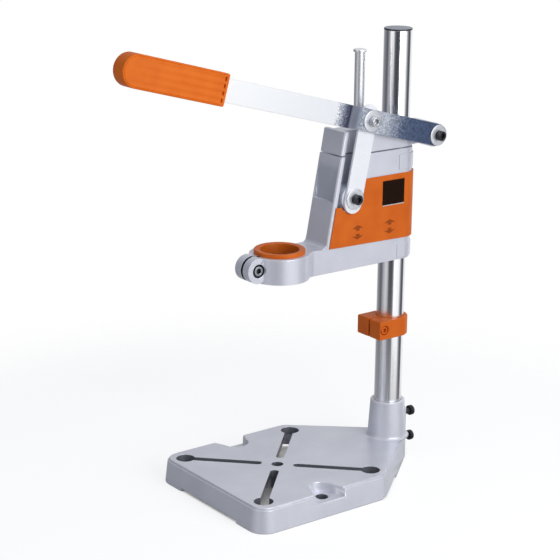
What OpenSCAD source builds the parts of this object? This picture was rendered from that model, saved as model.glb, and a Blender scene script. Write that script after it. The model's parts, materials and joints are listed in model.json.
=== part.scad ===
// Bench drill stand: a cast base, a chromed column and a lever-fed carriage with a clamp collar.
// Millimetres. The origin lies on the drilling axis at bench level,
// +X is the operator's right, +Y runs back to the column and +Z is up.

/* [Base] */
// Width of the base across its side walls at the bench
base_w = 174; // [160:1:200]
// Front wall, measured from the drilling axis
base_front = 85; // [80:1:100]
// Height of the base's top face
base_h = 25; // [22:1:32]
// Thickness of the top plate
base_top_t = 8; // [5:0.5:9]
// Thickness of the side walls
base_wall = 5; // [4:0.5:7]
// Lean of the walls from bottom to top, as a distance
base_draft = 2.5; // [1:0.5:4]
// Width of the step round the top face
lip_w = 1.6; // [1:0.2:3]
// Height of the step round the top face
lip_h = 2.2; // [1:0.2:4]
// Radius of the front corners
corner_r = 18; // [14:1:24]
// Radius of the shoulders, where the sides turn in to the column
shoulder_r = 14; // [12:1:20]
// Centre of the shoulders, behind the drilling axis
shoulder_y = 66; // [60:1:75]
// Gap under the front wall and the slanted walls, between the feet
foot_h = 3; // [1:0.5:4]
// Width of the gap between the front feet
foot_gap = 94; // [60:2:110]
// Distance between the round ends of the clamping slots, left to right and front to back
slot_pitch = 132; // [120:1:136]
// Width of the clamping slots
slot_w = 8.5; // [6:0.5:10]
// Diameter of the round slot ends
slot_end_d = 19; // [14:0.5:20]
// Inner end of the slots, from the drilling axis
slot_start = 20; // [16:1:30]
// Hole under the drilling axis
centre_hole_d = 12; // [8:0.5:14]
// Distance between the two bench bolts
bolt_pitch = 144; // [138:1:150]
// Bench bolt hole
bolt_hole_d = 12; // [9:0.5:13]
// Height of the bolt ears
ear_h = 15; // [10:1:18]
// Wall round the notch of a bolt ear
ear_wall = 4; // [3:0.5:6]
// Radius of the notch round a bolt head
notch_r = 13; // [11:0.5:15]
// Mouth of the notch at the side wall
notch_mouth = 40; // [30:1:50]

/* [Column] */
// Drilling axis to column axis
throat = 143; // [135:1:160]
// Outside diameter of the column
column_d = 28; // [26:0.5:30]
// Wall of the column tube
column_wall = 2; // [1.5:0.1:3]
// Top of the column above the bench
column_top = 450; // [440:5:520]
// Socket diameter at the top face of the base
socket_d = 40; // [38:0.5:44]
// Socket diameter at its mouth
socket_mouth_d = 33.5; // [33:0.5:37]
// Height of the socket's mouth above the bench
socket_top = 64.5; // [58:0.5:80]
// Floor left under the column
socket_floor = 6; // [4:0.5:10]
// Width of the screw rib behind the socket
rib_w = 18; // [14:1:22]
// Reach of the screw rib behind the column axis
rib_back = 23.5; // [21:0.5:28]
// Height of the lower and upper column screws
column_screw_low = 16; // [12:1:20]
// Distance between the column screws
column_screw_pitch = 28; // [22:1:32]

/* [Depth stop] */
// Underside of the depth stop
stop_z = 136.8; // [100:0.2:138]
// Height of the depth stop
stop_h = 19.4; // [14:0.2:20]
// Width of the depth stop
stop_w = 36; // [34:1:42]
// Front face of the depth stop, from the column axis
stop_front = 28; // [26:0.5:34]
// Clamp screw of the depth stop, from the column axis
stop_screw_y = 21.2; // [20:0.2:22]
// Slit in the depth stop
stop_slit = 2; // [1:0.5:3]

/* [Head] */
// Underside of the head above the bench
head_z = 334; // [328:1:360]
// Height of the head
head_h = 23; // [21:1:30]
// Half width of the head, the carriage's body and its arm
body_half = 17.5; // [17:0.5:20]
// Gap between the head and the carriage when raised
seam = 1; // [0.4:0.1:1.5]
// Fulcrum behind the column axis
fulcrum_back = 33; // [32:0.5:40]
// Fulcrum above the head's underside
fulcrum_up = 9.5; // [8:0.5:12]
// Radius of the fulcrum boss
fulcrum_boss_r = 12; // [11:0.5:13]
// Drop of the boss's centre below the fulcrum
fulcrum_drop = 0.5; // [0:0.5:3]

/* [Carriage] */
// Height of the carriage from its underside to the seam
carriage_h = 113.6; // [108:0.2:118]
// Height of the arm
arm_h = 25; // [22:0.5:30]
// Nose of the carriage at the arm's top, from the drilling axis
nose_y = 44; // [40:0.5:48]
// Lean of the nose's front face
nose_lean = 10.6; // [8:0.2:13]
// Radius of the cove between the nose and the arm
nose_cove = 7; // [4:0.5:9]
// Rounding of the nose's upright edges
nose_r = 2; // [1:0.5:4]
// Thickness of the nose in front of the side recesses
nose_t = 5; // [4.5:0.5:7]
// Width of the side recesses, front to back
recess_w = 23; // [20:0.5:24]
// Half width of the neck between the side recesses
neck_half = 8; // [7.5:0.5:9]
// Bottom of the side recesses above the arm
recess_up = 39.5; // [36:0.5:44]
// Ledge of the nose's front pocket above the arm
pocket_up = 46; // [40:1:55]
// Height of the nose's front pocket
pocket_h = 38; // [25:1:40]
// Depth of the nose's front pocket at its ledge
pocket_t = 3.5; // [1.5:0.5:3.5]
// Stroke of the carriage
stroke = 60; // [40:1:60]

/* [Collar] */
// Diameter of the drill's clamping neck that the bush takes
neck_d = 38; // [36:0.5:40]
// Diameter of the collar's own bore
collar_d = 43; // [42:0.5:46]
// Outside diameter of the collar
collar_od = 59; // [57:0.5:64]
// Flange of the bush
flange_d = 50; // [48:0.5:54]
// Thickness of the bush's flange
flange_t = 4; // [2:0.5:5]
// Radius of the blend from collar to arm
blend_r = 12; // [8:1:14]
// Clamp ears in front of the drilling axis
ear_y = 32.6; // [32:0.2:36]
// Width over both clamp ears
ear_w = 22; // [20:1:28]
// Rise of the clamp ears above the arm's middle
ear_rise = 1.2; // [0:0.1:2]
// Slit between the clamp ears
collar_slit = 2.6; // [1.5:0.1:4]
// Counterbore round the head of the collar's screw
collar_sink_d = 13; // [11.5:0.5:14]

/* [Lever and link] */
// Fulcrum to the link's upper pivot
lever_arm = 89.3; // [84:0.1:92]
// Rise of the raised lever towards its grip
lever_tilt = 15.4; // [13:0.1:17]
// Fulcrum to the end of the grip
lever_reach = 392.5; // [360:0.5:420]
// Width of the lever bar
bar_w = 22; // [20:0.5:25]
// Thickness of the lever bar
bar_t = 4; // [3:0.5:5]
// Sideways jog of the lever bar
jog = 14; // [10:0.5:18]
// Start of the jog, in front of the link's pivot
jog_start = 18.7; // [16:0.1:26]
// Length of the jog along the bar
jog_l = 21; // [16:1:28]
// Radius of the bar's bends at mid thickness
bend_r = 12; // [6:0.5:14]
// Length of the grip
grip_l = 111.5; // [100:0.5:130]
// Width of the grip
grip_w = 30; // [26:0.5:32]
// Thickness of the grip
grip_t = 17; // [15:0.5:22]
// Grooves on each face of the grip
grip_grooves = 4; // [3:1:6]
// Distance between the link's pivots
link_l = 77.4; // [74:0.1:80]
// Lean of the link at rest
link_lean = 11.85; // [10:0.05:13]
// Width of the link
link_w = 21; // [18:0.5:22]
// Thickness of the link
link_t = 3; // [2:0.5:4]
// Link ends beyond the pivots
link_end = 15; // [13:0.5:16]

/* [Fasteners and rod] */
// Pivot bolts and clamp screws
screw_d = 6; // [5:0.5:7]
// Heads of the pivot bolts and clamp screws
screw_head_d = 10; // [9:0.5:11]
// Height of those heads
screw_head_h = 6; // [5:0.5:7]
// Socket key of those heads
screw_key = 5; // [4:0.5:5.5]
// Column screws
set_screw_d = 6; // [5:0.5:6]
// Heads of the column screws
set_head_d = 10.5; // [9:0.5:12]
// Height of the column screws' heads
set_head_h = 10; // [6:0.5:12]
// Clamp screw of the depth stop
stop_screw_d = 5; // [4:0.5:5]
// Head of the depth stop's screw
stop_head_d = 8.5; // [8:0.5:9]
// Pivot washers
washer_d = 21; // [18:0.5:23]
// Thickness of the pivot washers
washer_t = 1.6; // [1:0.1:2]
// Guide rod diameter
rod_d = 10; // [9:0.5:11]
// Guide rod behind the drilling axis
rod_y = 95; // [94:0.5:98]
// Guide rod left above the head at the end of the stroke
rod_over = 16; // [8:1:24]
// Head of the guide rod
rod_head_d = 13; // [12:0.5:16]

/* [Covers and spring] */
// Thickness of the side cover
cover_t = 1; // [0.8:0.1:1.5]
// Height of the side cover behind the link
cover_h = 64; // [58:0.5:68]
// Drop of the side cover's lower edge below the arm's top, at the column
cover_drop = 2.6; // [1:0.1:4]
// Return spring's axis behind the drilling axis
spring_y = 74; // [73:0.5:76]
// Outside diameter of the return spring
spring_d = 9; // [8:0.5:10]
// Anchor pins of the return spring
spring_pin_d = 4; // [3:0.5:4]

/* [Clearances] */
// Radial clearance of sliding and turning fits
run_gap = 0.05; // [0.02:0.01:0.1]
// Gap round pieces that are seated in one another
seat_gap = 0.1; // [0.05:0.01:0.2]
// Side gap between pieces that swing past each other
swing_gap = 0.3; // [0.3:0.1:0.6]
// Play of the link's lower bolt in the carriage
pivot_play = 3.9; // [3.8:0.1:4.4]

/* [Hidden] */
$fn = 72;
eps = 0.05;
bend_steps = 6;
cast = [0.72, 0.73, 0.76];
orange = [0.88, 0.42, 0.13];
chrome = [0.80, 0.81, 0.83];
zinc = [0.85, 0.86, 0.88];
black = [0.08, 0.08, 0.09];

column_r = column_d / 2;
corner_x = base_w / 2 - corner_r;
corner_y = corner_r - base_front;
shoulder_x = base_w / 2 - shoulder_r;
tip_r = socket_d / 2;
column_foot = socket_floor + seat_gap;
column_screws = [column_screw_low, column_screw_low + column_screw_pitch];

carriage_top = head_z - seam;
arm_z = carriage_top - carriage_h;
arm_top = arm_z + arm_h;
head_top = head_z + head_h;
rear_r = body_half;
arm_half = body_half;

fulcrum = [throat + fulcrum_back, head_z + fulcrum_up];
upper_pivot = fulcrum + lever_arm * [-cos(lever_tilt), sin(lever_tilt)];
lower_pivot = upper_pivot - link_l * [sin(link_lean), cos(link_lean)];
pivot_boss_r = screw_d / 2 + pivot_play + 6.2;

// Planes of the feed gear on the right, from the carriage outwards
boss_face = body_half + cover_t + swing_gap;
link_x = boss_face + swing_gap;
lever_x = link_x + link_t + swing_gap;
lever_face = lever_x + bar_t;
fulcrum_face = lever_x - swing_gap;
bar_end = lever_reach - grip_w / 2;

ear_r = arm_h / 2;
ear_z = arm_z + ear_r + ear_rise;
collar_r = collar_od / 2;
blend_x = arm_half + blend_r;
blend_y = sqrt(pow(collar_r + blend_r, 2) - pow(blend_x, 2));
flange_z = arm_top + flange_t;
collar_seat = ear_w / 2 - screw_head_h;
collar_nut_h = 5;

pin_low = arm_top + 18;
pin_high = head_top - 7;
rod_foot = arm_top + 12;
rod_top = head_top + stroke + rod_over;
cover_z = arm_top + seat_gap;
stop_screw_z = stop_z + stop_h / 2;

// Draws its 2-D children in the Y-Z plane and runs them from x0 to x1
module yz(x0, x1) {
    translate([x0, 0, 0]) rotate([90, 0, 90]) linear_extrude(x1 - x0) children();
}

// Turns children that stand on +Z to point along +X from a place
module to_right(place) {
    translate(place) rotate([0, 90, 0]) children();
}

// Turns children that stand on +Z to point along -X from a place
module to_left(place) {
    translate(place) rotate([0, -90, 0]) children();
}

// Socket-head screw with its seat at z = 0 and its shank below
module cap_screw(d, shank, head_d, head_h, key) {
    bevel = 0.08 * head_d;
    difference() {
        union() {
            cylinder(d = head_d, h = head_h - bevel);
            translate([0, 0, head_h - bevel]) cylinder(d1 = head_d, d2 = head_d - 2 * bevel, h = bevel);
            translate([0, 0, -shank]) cylinder(d = d, h = shank + eps);
        }
        translate([0, 0, head_h * 0.45]) cylinder(d = key / cos(30), h = head_h, $fn = 6);
    }
}

// Hexagon nut that stands on z = 0
module hex_nut(d, across, h) {
    linear_extrude(h) difference() {
        circle(d = across / cos(30), $fn = 6);
        circle(d = d + 2 * seat_gap);
    }
}

// Plain washer that stands on z = 0, with a small bevel on its free face
module flat_washer(d, bore, t) {
    bevel = t / 4;
    difference() {
        union() {
            cylinder(d = d, h = t - bevel);
            translate([0, 0, t - bevel]) cylinder(d1 = d, d2 = d - 2 * bevel, h = bevel);
        }
        translate([0, 0, -1]) cylinder(d = bore, h = t + 2);
    }
}

// Lofted plan of the base, drawn in by inset and leaning by draft between two heights
module base_loft(inset, draft, z0, z1) {
    hull() {
        for (side = [-1, 1]) {
            translate([side * corner_x, corner_y, z0])
                cylinder(r1 = corner_r - inset, r2 = corner_r - inset - draft, h = z1 - z0, $fn = 48);
            translate([side * shoulder_x, shoulder_y, z0])
                cylinder(r1 = shoulder_r - inset, r2 = shoulder_r - inset - draft, h = z1 - z0, $fn = 48);
        }
        translate([0, throat, z0])
            cylinder(r1 = tip_r - inset, r2 = tip_r - inset - draft, h = z1 - z0, $fn = 48);
    }
}

// One clamping slot with its round outer end, cut through everything
module clamping_slot(turn) {
    reach = slot_pitch / sqrt(2);
    rotate(turn) translate([0, 0, -1]) {
        translate([slot_start, -slot_w / 2, 0]) cube([reach - slot_start, slot_w, base_h + 2]);
        translate([slot_start, 0, 0]) cylinder(d = slot_w, h = base_h + 2);
        translate([reach, 0, 0]) cylinder(d = slot_end_d, h = base_h + 2);
    }
}

// Plan of the notch over a bolt ear, drawn about the bolt, grown by a margin and run out past the side wall
module notch_plan(grow, past) {
    reach = (base_w - bolt_pitch) / 2 + past;
    r = notch_r + grow;
    mouth = notch_mouth / 2 + grow;
    intersection() {
        union() {
            circle(r = r);
            polygon([[0, -r], [reach, -mouth], [reach, mouth], [0, r]]);
        }
        translate([-r, -mouth]) square([r + reach, 2 * mouth]);
    }
}

// Walled seat under a bolt's head, joined to the top plate and the side wall
module bolt_ear() {
    translate([bolt_pitch / 2, 0, 0]) linear_extrude(base_h - base_top_t + eps)
        notch_plan(ear_wall, -base_wall / 2);
}

// Notch over a bolt ear, open through the side wall
module ear_notch() {
    translate([bolt_pitch / 2, 0, ear_h]) linear_extrude(base_h) notch_plan(0, 1);
}

// Conical column socket with a coved foot, and the rib behind it that holds the screws
module column_socket() {
    cove = 3;
    translate([0, throat, 0]) {
        cylinder(d = socket_d, h = base_h + eps);
        translate([0, 0, base_h])
            cylinder(d1 = socket_d, d2 = socket_mouth_d + 2, h = socket_top - base_h - 1);
        translate([0, 0, socket_top - 1 - eps])
            cylinder(d1 = socket_mouth_d + 2, d2 = socket_mouth_d, h = 1 + eps);
        rotate_extrude() translate([tip_r - 1, base_h - 1]) difference() {
            square([cove + 1, cove + 1]);
            translate([cove + 1, cove + 1]) circle(r = cove);
        }
        rib_top = column_screws[1] + set_head_d / 2 + 3;
        translate([-rib_w / 2, 0, 0]) cube([rib_w, rib_back - rib_w / 2, rib_top]);
        translate([0, rib_back - rib_w / 2, 0]) cylinder(d = rib_w, h = rib_top - 2);
        translate([0, rib_back - rib_w / 2, rib_top - 2 - eps])
            cylinder(d1 = rib_w, d2 = rib_w - 4, h = 2 + eps);
    }
}

module base_plate() {
    rib_t = 4;
    under = base_h - base_top_t;
    color(cast) difference() {
        union() {
            difference() {
                union() {
                    base_loft(0, base_draft, 0, base_h - lip_h);
                    base_loft(base_draft + lip_w, 0, base_h - lip_h - eps, base_h);
                }
                base_loft(base_wall, base_draft, -1, under);
                translate([-foot_gap / 2, -base_front - 1, -1]) cube([foot_gap, base_wall + 3, foot_h + 1]);
                for (side = [-1, 1]) {
                    translate([side * base_w / 2, shoulder_y, -1]) rotate(side * 45)
                        translate([-base_w / 2, 0, 0]) cube([base_w, base_w / 3, foot_h + 1]);
                }
            }
            bolt_ear();
            mirror([1, 0, 0]) bolt_ear();
            translate([-bolt_pitch / 2, -rib_t / 2, foot_h]) cube([bolt_pitch, rib_t, under - foot_h + eps]);
            translate([-rib_t / 2, base_wall - base_front, foot_h])
                cube([rib_t, throat + base_front - base_wall, under - foot_h + eps]);
            translate([0, 0, foot_h]) cylinder(d = centre_hole_d + 10, h = under - foot_h + eps);
            column_socket();
        }
        for (turn = [45 : 90 : 315]) {
            clamping_slot(turn);
        }
        translate([0, 0, -1]) cylinder(d = centre_hole_d, h = base_h + 2);
        for (side = [-1, 1]) {
            translate([side * bolt_pitch / 2, 0, -1]) cylinder(d = bolt_hole_d, h = base_h + 2);
        }
        ear_notch();
        mirror([1, 0, 0]) ear_notch();
        translate([0, throat, socket_floor]) cylinder(r = column_r + run_gap, h = socket_top);
        for (z = column_screws) {
            translate([0, throat, z]) rotate([-90, 0, 0])
                cylinder(d = set_screw_d + 2 * seat_gap, h = rib_back + 1);
        }
    }
}

// Screw that bears on the column through the rib, at a height
module column_screw(z) {
    standoff = 1;
    seat = throat + rib_back + standoff;
    color(black) translate([0, seat, z]) rotate([-90, 0, 0])
        cap_screw(set_screw_d, seat - throat - column_r - seat_gap, set_head_d, set_head_h, 5);
}

module column_screw_lower() {
    column_screw(column_screws[0]);
}

module column_screw_upper() {
    column_screw(column_screws[1]);
}

module column() {
    bevel = 0.8;
    color(chrome) translate([0, throat, 0]) difference() {
        union() {
            translate([0, 0, column_foot]) cylinder(d = column_d, h = column_top - column_foot - bevel);
            translate([0, 0, column_top - bevel - eps])
                cylinder(d1 = column_d, d2 = column_d - 2 * bevel, h = bevel + eps);
        }
        translate([0, 0, column_foot - 1]) cylinder(d = column_d - 2 * column_wall, h = column_top);
    }
}

module column_cap() {
    cap_h = 6;
    color([0.45, 0.46, 0.48]) translate([0, throat, column_top - cap_h - 0.4])
        cylinder(d = column_d - 2 * column_wall - 2 * seat_gap, h = cap_h);
}

module depth_stop() {
    nut_across = 8;
    color(orange) translate([0, throat, stop_z]) difference() {
        linear_extrude(stop_h) difference() {
            union() {
                circle(d = stop_w);
                translate([-stop_w / 2, -stop_front]) square([stop_w, stop_front]);
            }
            circle(r = column_r + run_gap);
            translate([-stop_slit / 2, -stop_front - 1]) square([stop_slit, stop_front]);
        }
        to_left([stop_w / 2 + 1, -stop_screw_y, stop_h / 2])
            cylinder(d = stop_screw_d + 2 * seat_gap, h = stop_w + 2);
        to_right([stop_w / 2 - 6, -stop_screw_y, stop_h / 2]) cylinder(d = stop_head_d + 1, h = 10);
        to_left([-stop_w / 2 + 4.5, -stop_screw_y, stop_h / 2])
            cylinder(d = (nut_across + 2 * seat_gap) / cos(30), h = 10, $fn = 6);
    }
}

module stop_screw() {
    seat = stop_w / 2 - 6 + eps;
    color(black) to_right([seat, throat - stop_screw_y, stop_screw_z])
        cap_screw(stop_screw_d, stop_w - 7, stop_head_d, 5, 4);
}

module stop_nut() {
    color(zinc) to_left([-stop_w / 2 + 4.5 - eps, throat - stop_screw_y, stop_screw_z])
        hex_nut(stop_screw_d, 8, 4);
}

// Plan of the column housing that the head and the carriage share, from a front line to its round back
module housing_plan(front) {
    translate([0, throat]) circle(r = rear_r);
    translate([-body_half, front]) square([2 * body_half, throat - front]);
}

// Moves children to the foot of the leaning nose, where y = 0 is its front face and z runs up it
module on_nose() {
    translate([0, nose_y, arm_top]) rotate([-nose_lean, 0, 0]) children();
}

// Leaning prism that the nose is cut from, rounded along its two front edges
module nose_prism(half, depth) {
    on_nose() translate([0, 0, -20]) linear_extrude(head_top - arm_top + 60) {
        translate([-half, nose_r]) square([2 * half, depth - nose_r]);
        translate([nose_r - half, 0]) square([2 * (half - nose_r), depth]);
        translate([nose_r - half, nose_r]) circle(r = nose_r);
        translate([half - nose_r, nose_r]) circle(r = nose_r);
    }
}

// Cove along the nose's foot; its circle is a little large, so that it meets both faces at a clear angle
module nose_foot() {
    reach = nose_cove * (1 - sin(nose_lean)) / cos(nose_lean);
    half = body_half - nose_r / 2;
    yz(-half, half) difference() {
        polygon([[nose_y - reach, arm_top - eps], [nose_y + nose_r, arm_top - eps],
            [nose_y + nose_r + nose_cove * tan(nose_lean), arm_top + nose_cove],
            [nose_y - reach, arm_top + nose_cove]]);
        translate([nose_y - reach, arm_top + nose_cove]) circle(r = 1.02 * nose_cove);
    }
}

// Recesses on both sides of the neck, which lean with the nose
module side_recesses() {
    for (side = [-1, 1]) {
        on_nose() translate([side * (neck_half + body_half) - body_half, nose_t, recess_up])
            cube([2 * body_half, recess_w, head_top - arm_top]);
    }
}

module head() {
    lug_half = 11;
    nose_half = body_half - 0.7;
    boss_z = fulcrum[1] - fulcrum_drop;
    color(cast) difference() {
        union() {
            difference() {
                union() {
                    intersection() {
                        nose_prism(nose_half, nose_t + recess_w + 6);
                        translate([-body_half, 0, head_z]) cube([2 * body_half, throat, head_h]);
                    }
                    translate([0, 0, head_z]) linear_extrude(head_h)
                        housing_plan(nose_y + nose_t + (head_top - arm_top) * tan(nose_lean));
                }
                side_recesses();
            }
            yz(-lug_half, lug_half) polygon([[throat, head_z], [throat + rear_r, head_z],
                [fulcrum[0], boss_z - fulcrum_boss_r + 4], [fulcrum[0], boss_z + fulcrum_boss_r],
                [throat, head_top]]);
            to_right([-lug_half, fulcrum[0], boss_z])
                cylinder(r = fulcrum_boss_r, h = fulcrum_face + lug_half);
            to_left([eps - body_half + 2, throat, head_z + head_h / 2]) cylinder(d = head_h - 5, h = 7);
        }
        translate([0, throat, head_z - 1]) cylinder(r = column_r + run_gap, h = head_h + 2);
        translate([0, rod_y, head_z - 1]) cylinder(r = rod_d / 2 + run_gap, h = head_h + 2);
        translate([0, spring_y, head_z - 1]) cylinder(d = spring_d + 2, h = pin_high + 4 - head_z + 1);
        to_right([-body_half, spring_y, pin_high])
            cylinder(d = spring_pin_d + 2 * run_gap, h = 2 * body_half);
        to_left([0, throat, head_z + head_h / 2]) cylinder(d = screw_d + 2 * seat_gap, h = body_half + 10);
        to_right([-lug_half + 4, fulcrum[0], fulcrum[1]])
            cylinder(d = screw_d + 2 * seat_gap, h = 3 * body_half);
    }
}

// Screw on the hidden left side that locks the head on the column
module head_screw() {
    seat = body_half + 5.5;
    color(black) to_left([-seat, throat, head_z + head_h / 2])
        cap_screw(screw_d, seat - column_r - seat_gap, screw_head_d, screw_head_h, screw_key);
}

module fulcrum_bolt() {
    seat = lever_face + seat_gap + washer_t + eps;
    color(black) to_right([seat, fulcrum[0], fulcrum[1]])
        cap_screw(screw_d, seat + 6, screw_head_d, screw_head_h, screw_key);
}

module fulcrum_washer() {
    color(zinc) to_right([lever_face + seat_gap, fulcrum[0], fulcrum[1]])
        flat_washer(washer_d, screw_d + 2 * seat_gap, washer_t);
}

module spring_pin_upper() {
    color(zinc) to_right([-neck_half, spring_y, pin_high]) cylinder(d = spring_pin_d, h = 2 * neck_half);
}

// Extension spring hidden in the nose, drawn as its closed envelope between the anchor pins
module return_spring() {
    wire = 1.2;
    gap = spring_pin_d / 2 + seat_gap;
    color(zinc) translate([0, spring_y, pin_low + gap]) difference() {
        cylinder(d = spring_d, h = pin_high - pin_low - 2 * gap);
        translate([0, 0, -1]) cylinder(d = spring_d - 2 * wire, h = pin_high - pin_low);
    }
}

// Plan of the arm: the collar ring, blended into parallel sides that end round the column
module arm_plan() {
    tangent = collar_r / (collar_r + blend_r);
    circle(r = collar_r);
    translate([0, throat]) circle(r = arm_half);
    translate([-arm_half, blend_y - eps]) square([2 * arm_half, throat - blend_y + eps]);
    difference() {
        polygon([[blend_x * tangent, blend_y * tangent], [arm_half, blend_y], [-arm_half, blend_y],
            [-blend_x * tangent, blend_y * tangent]]);
        for (side = [-1, 1]) {
            translate([side * blend_x, blend_y]) circle(r = blend_r);
        }
    }
}

// Raised pad round the housing's back, from a little way along its sides
module rear_pad(z0, h) {
    r = rear_r + 0.9;
    side = 9;
    translate([0, throat, z0]) linear_extrude(h) {
        circle(r = r);
        translate([-r, -side]) square([2 * r, side]);
    }
}

// Pocket in the arm's underside, between the collar and the column
module arm_pocket() {
    wall = 5;
    front = collar_r + wall;
    back = throat - column_r - wall;
    translate([wall - arm_half, front, arm_z - 1]) cube([2 * (arm_half - wall), back - front, arm_h - 7]);
}

// Shallow pocket in the nose's front face, deepest at its ledge
module nose_pocket() {
    half = body_half - nose_r - 1;
    on_nose() translate([-half, 0, pocket_up]) rotate([atan(pocket_t / pocket_h), 0, 0])
        translate([0, -3 * pocket_t, 0]) cube([2 * half, 4 * pocket_t, pocket_h * 1.5]);
}

module carriage() {
    pad_h = 15;
    color(cast) difference() {
        union() {
            translate([0, 0, arm_z]) linear_extrude(arm_h) arm_plan();
            to_right([-ear_w / 2, -ear_y, ear_z]) cylinder(r = ear_r, h = ear_w);
            difference() {
                intersection() {
                    nose_prism(body_half + eps, throat + rear_r);
                    translate([0, 0, arm_top - eps]) linear_extrude(carriage_top - arm_top + eps)
                        housing_plan(nose_y - 1);
                }
                side_recesses();
                nose_pocket();
            }
            nose_foot();
            to_right([neck_half - 1, lower_pivot[0], lower_pivot[1]])
                cylinder(r = pivot_boss_r, h = boss_face - neck_half + 1);
            rear_pad(arm_z + 2, pad_h);
            rear_pad(carriage_top - 6 - pad_h, pad_h);
        }
        arm_pocket();
        translate([0, 0, arm_z - 1]) cylinder(d = collar_d, h = arm_h + 2);
        translate([-collar_slit / 2, -ear_y - ear_r - 1, arm_z - 1]) cube([collar_slit, ear_y, arm_h + 2]);
        to_right([-ear_w, -ear_y, ear_z]) cylinder(d = screw_d + 2 * seat_gap, h = 2 * ear_w);
        to_right([collar_seat, -ear_y, ear_z]) cylinder(d = collar_sink_d, h = ear_w);
        translate([0, throat, arm_z - 1]) cylinder(r = column_r + run_gap, h = carriage_h + 2);
        translate([0, rod_y, rod_foot - seat_gap]) cylinder(d = rod_d + 2 * run_gap, h = carriage_h);
        translate([0, spring_y, pin_low - spring_pin_d]) cylinder(d = spring_d + 2, h = carriage_h);
        to_right([-body_half - 1, spring_y, pin_low])
            cylinder(d = spring_pin_d + 2 * run_gap, h = 2 * body_half + 2);
        to_right([neck_half + 1.5, lower_pivot[0], lower_pivot[1]])
            cylinder(r = screw_d / 2 + pivot_play, h = 2 * body_half);
    }
}

// Side view of the cover: it follows the nose, steps down below the side recesses and laps over the arm
module cover_view() {
    edge = 3;
    top = cover_z + cover_h;
    step = arm_top + recess_up;
    rear_step = nose_y + nose_t + recess_w + cover_h * tan(nose_lean);
    back = throat + rear_r + 3 * cover_t;
    low = arm_top - cover_drop;
    polygon([[nose_y + edge, arm_top], [nose_y + edge, arm_top - cover_drop / 4], [throat, low], [back, low],
        [back, top], [rear_step, top], [rear_step, step],
        [nose_y + edge + recess_up * tan(nose_lean), step]]);
}

// Short arrow in the Y-Z plane about a centre, pointing up after no turn
module arrow(centre, turn) {
    translate(centre) rotate(turn)
        polygon([[0, 2.9], [-7, -0.7], [-2.6, -0.4], [-2, -2.9], [2, -2.9], [2.6, -0.4], [7, -0.7]]);
}

module side_cover() {
    arrow_t = 0.5;
    half = body_half + cover_t;
    back = throat + cover_t;
    rows = [[arm_top + 7, 180], [arm_top + 16, 0]];
    columns = [spring_y + 8, throat - 20];
    color(orange) difference() {
        intersection() {
            translate([0, 0, arm_z]) linear_extrude(carriage_h) difference() {
                union() {
                    translate([0, back]) circle(r = rear_r + cover_t);
                    translate([-half, nose_y]) square([2 * half, back - nose_y]);
                }
                translate([0, throat]) circle(r = rear_r + eps);
                translate([-body_half - eps / 2, nose_y - 1])
                    square([2 * body_half + eps, throat - nose_y + 1]);
            }
            yz(-2 * body_half, 2 * body_half) cover_view();
        }
        to_right([0, lower_pivot[0], lower_pivot[1]]) cylinder(r = pivot_boss_r + 2, h = 2 * body_half);
        for (row = rows, place = columns) {
            yz(half - arrow_t, half + 1) arrow([place, row[0]], row[1]);
        }
    }
}

// Plain black plate on the cover, left blank
module cover_plate() {
    plate = [28, 25.5];
    color(black) yz(body_half + cover_t, body_half + cover_t + 0.4)
        translate([throat - 2.2 - plate[0], cover_z + cover_h - 5.5 - plate[1]]) square(plate);
}

module collar_bush() {
    bevel = 0.6;
    color(orange) rotate_extrude() polygon([[neck_d / 2, arm_z], [collar_d / 2 - seat_gap, arm_z],
        [collar_d / 2 - seat_gap, arm_top + eps], [flange_d / 2, arm_top + eps],
        [flange_d / 2, flange_z - bevel], [flange_d / 2 - bevel, flange_z], [neck_d / 2, flange_z - bevel]]);
}

module collar_screw() {
    shank = collar_seat + ear_w / 2 + collar_nut_h + 1;
    color(black) to_right([collar_seat + eps, -ear_y, ear_z])
        cap_screw(screw_d, shank, screw_head_d, screw_head_h, screw_key);
}

module collar_nut() {
    color(black) to_left([-ear_w / 2 - eps, -ear_y, ear_z]) hex_nut(screw_d, screw_head_d, collar_nut_h);
}

module guide_rod() {
    cap_h = 4;
    color(chrome) translate([0, rod_y, 0]) rotate_extrude() polygon([[0, rod_foot], [rod_d / 2 - 1, rod_foot],
        [rod_d / 2, rod_foot + 1], [rod_d / 2, rod_top - cap_h], [rod_head_d / 2 - 0.5, rod_top - cap_h],
        [rod_head_d / 2, rod_top - cap_h + 0.5], [rod_head_d / 2, rod_top - 1], [rod_head_d / 2 - 1, rod_top],
        [0, rod_top]]);
}

module spring_pin_lower() {
    color(zinc) to_right([-body_half + eps, spring_y, pin_low])
        cylinder(d = spring_pin_d, h = 2 * (body_half - eps));
}

// Moves children to the fulcrum, where -Y runs along the raised lever towards its grip
module on_lever() {
    translate([0, fulcrum[0], fulcrum[1]]) rotate([-lever_tilt, 0, 0]) children();
}

// Points on one bend of the bar, on a radius about a centre, between two angles
function bend(centre, r, from, to) = [for (i = [0 : bend_steps])
    let (a = from + (to - from) * i / bend_steps) centre + r * [cos(a), sin(a)]];

// Plan of the flat bar from its rear end, through the jog's two round bends, into the grip
module bar_plan() {
    rear = bar_w / 2;
    turn = atan2(jog, jog_l);
    run = bend_r * tan(turn / 2);
    mid = lever_x + bar_t / 2;
    first = [mid + bend_r, run - lever_arm - jog_start];
    second = [mid + jog - bend_r, -run - lever_arm - jog_start - jog_l];
    near = bend_r - bar_t / 2;
    far = bend_r + bar_t / 2;
    polygon(concat([[lever_x, rear]], bend(first, far, 180, 180 + turn), bend(second, near, turn, 0),
        [[lever_x + jog, -bar_end], [lever_face + jog, -bar_end]],
        bend(second, far, 0, turn), bend(first, near, 180 + turn, 180), [[lever_face, rear]]));
}

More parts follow.
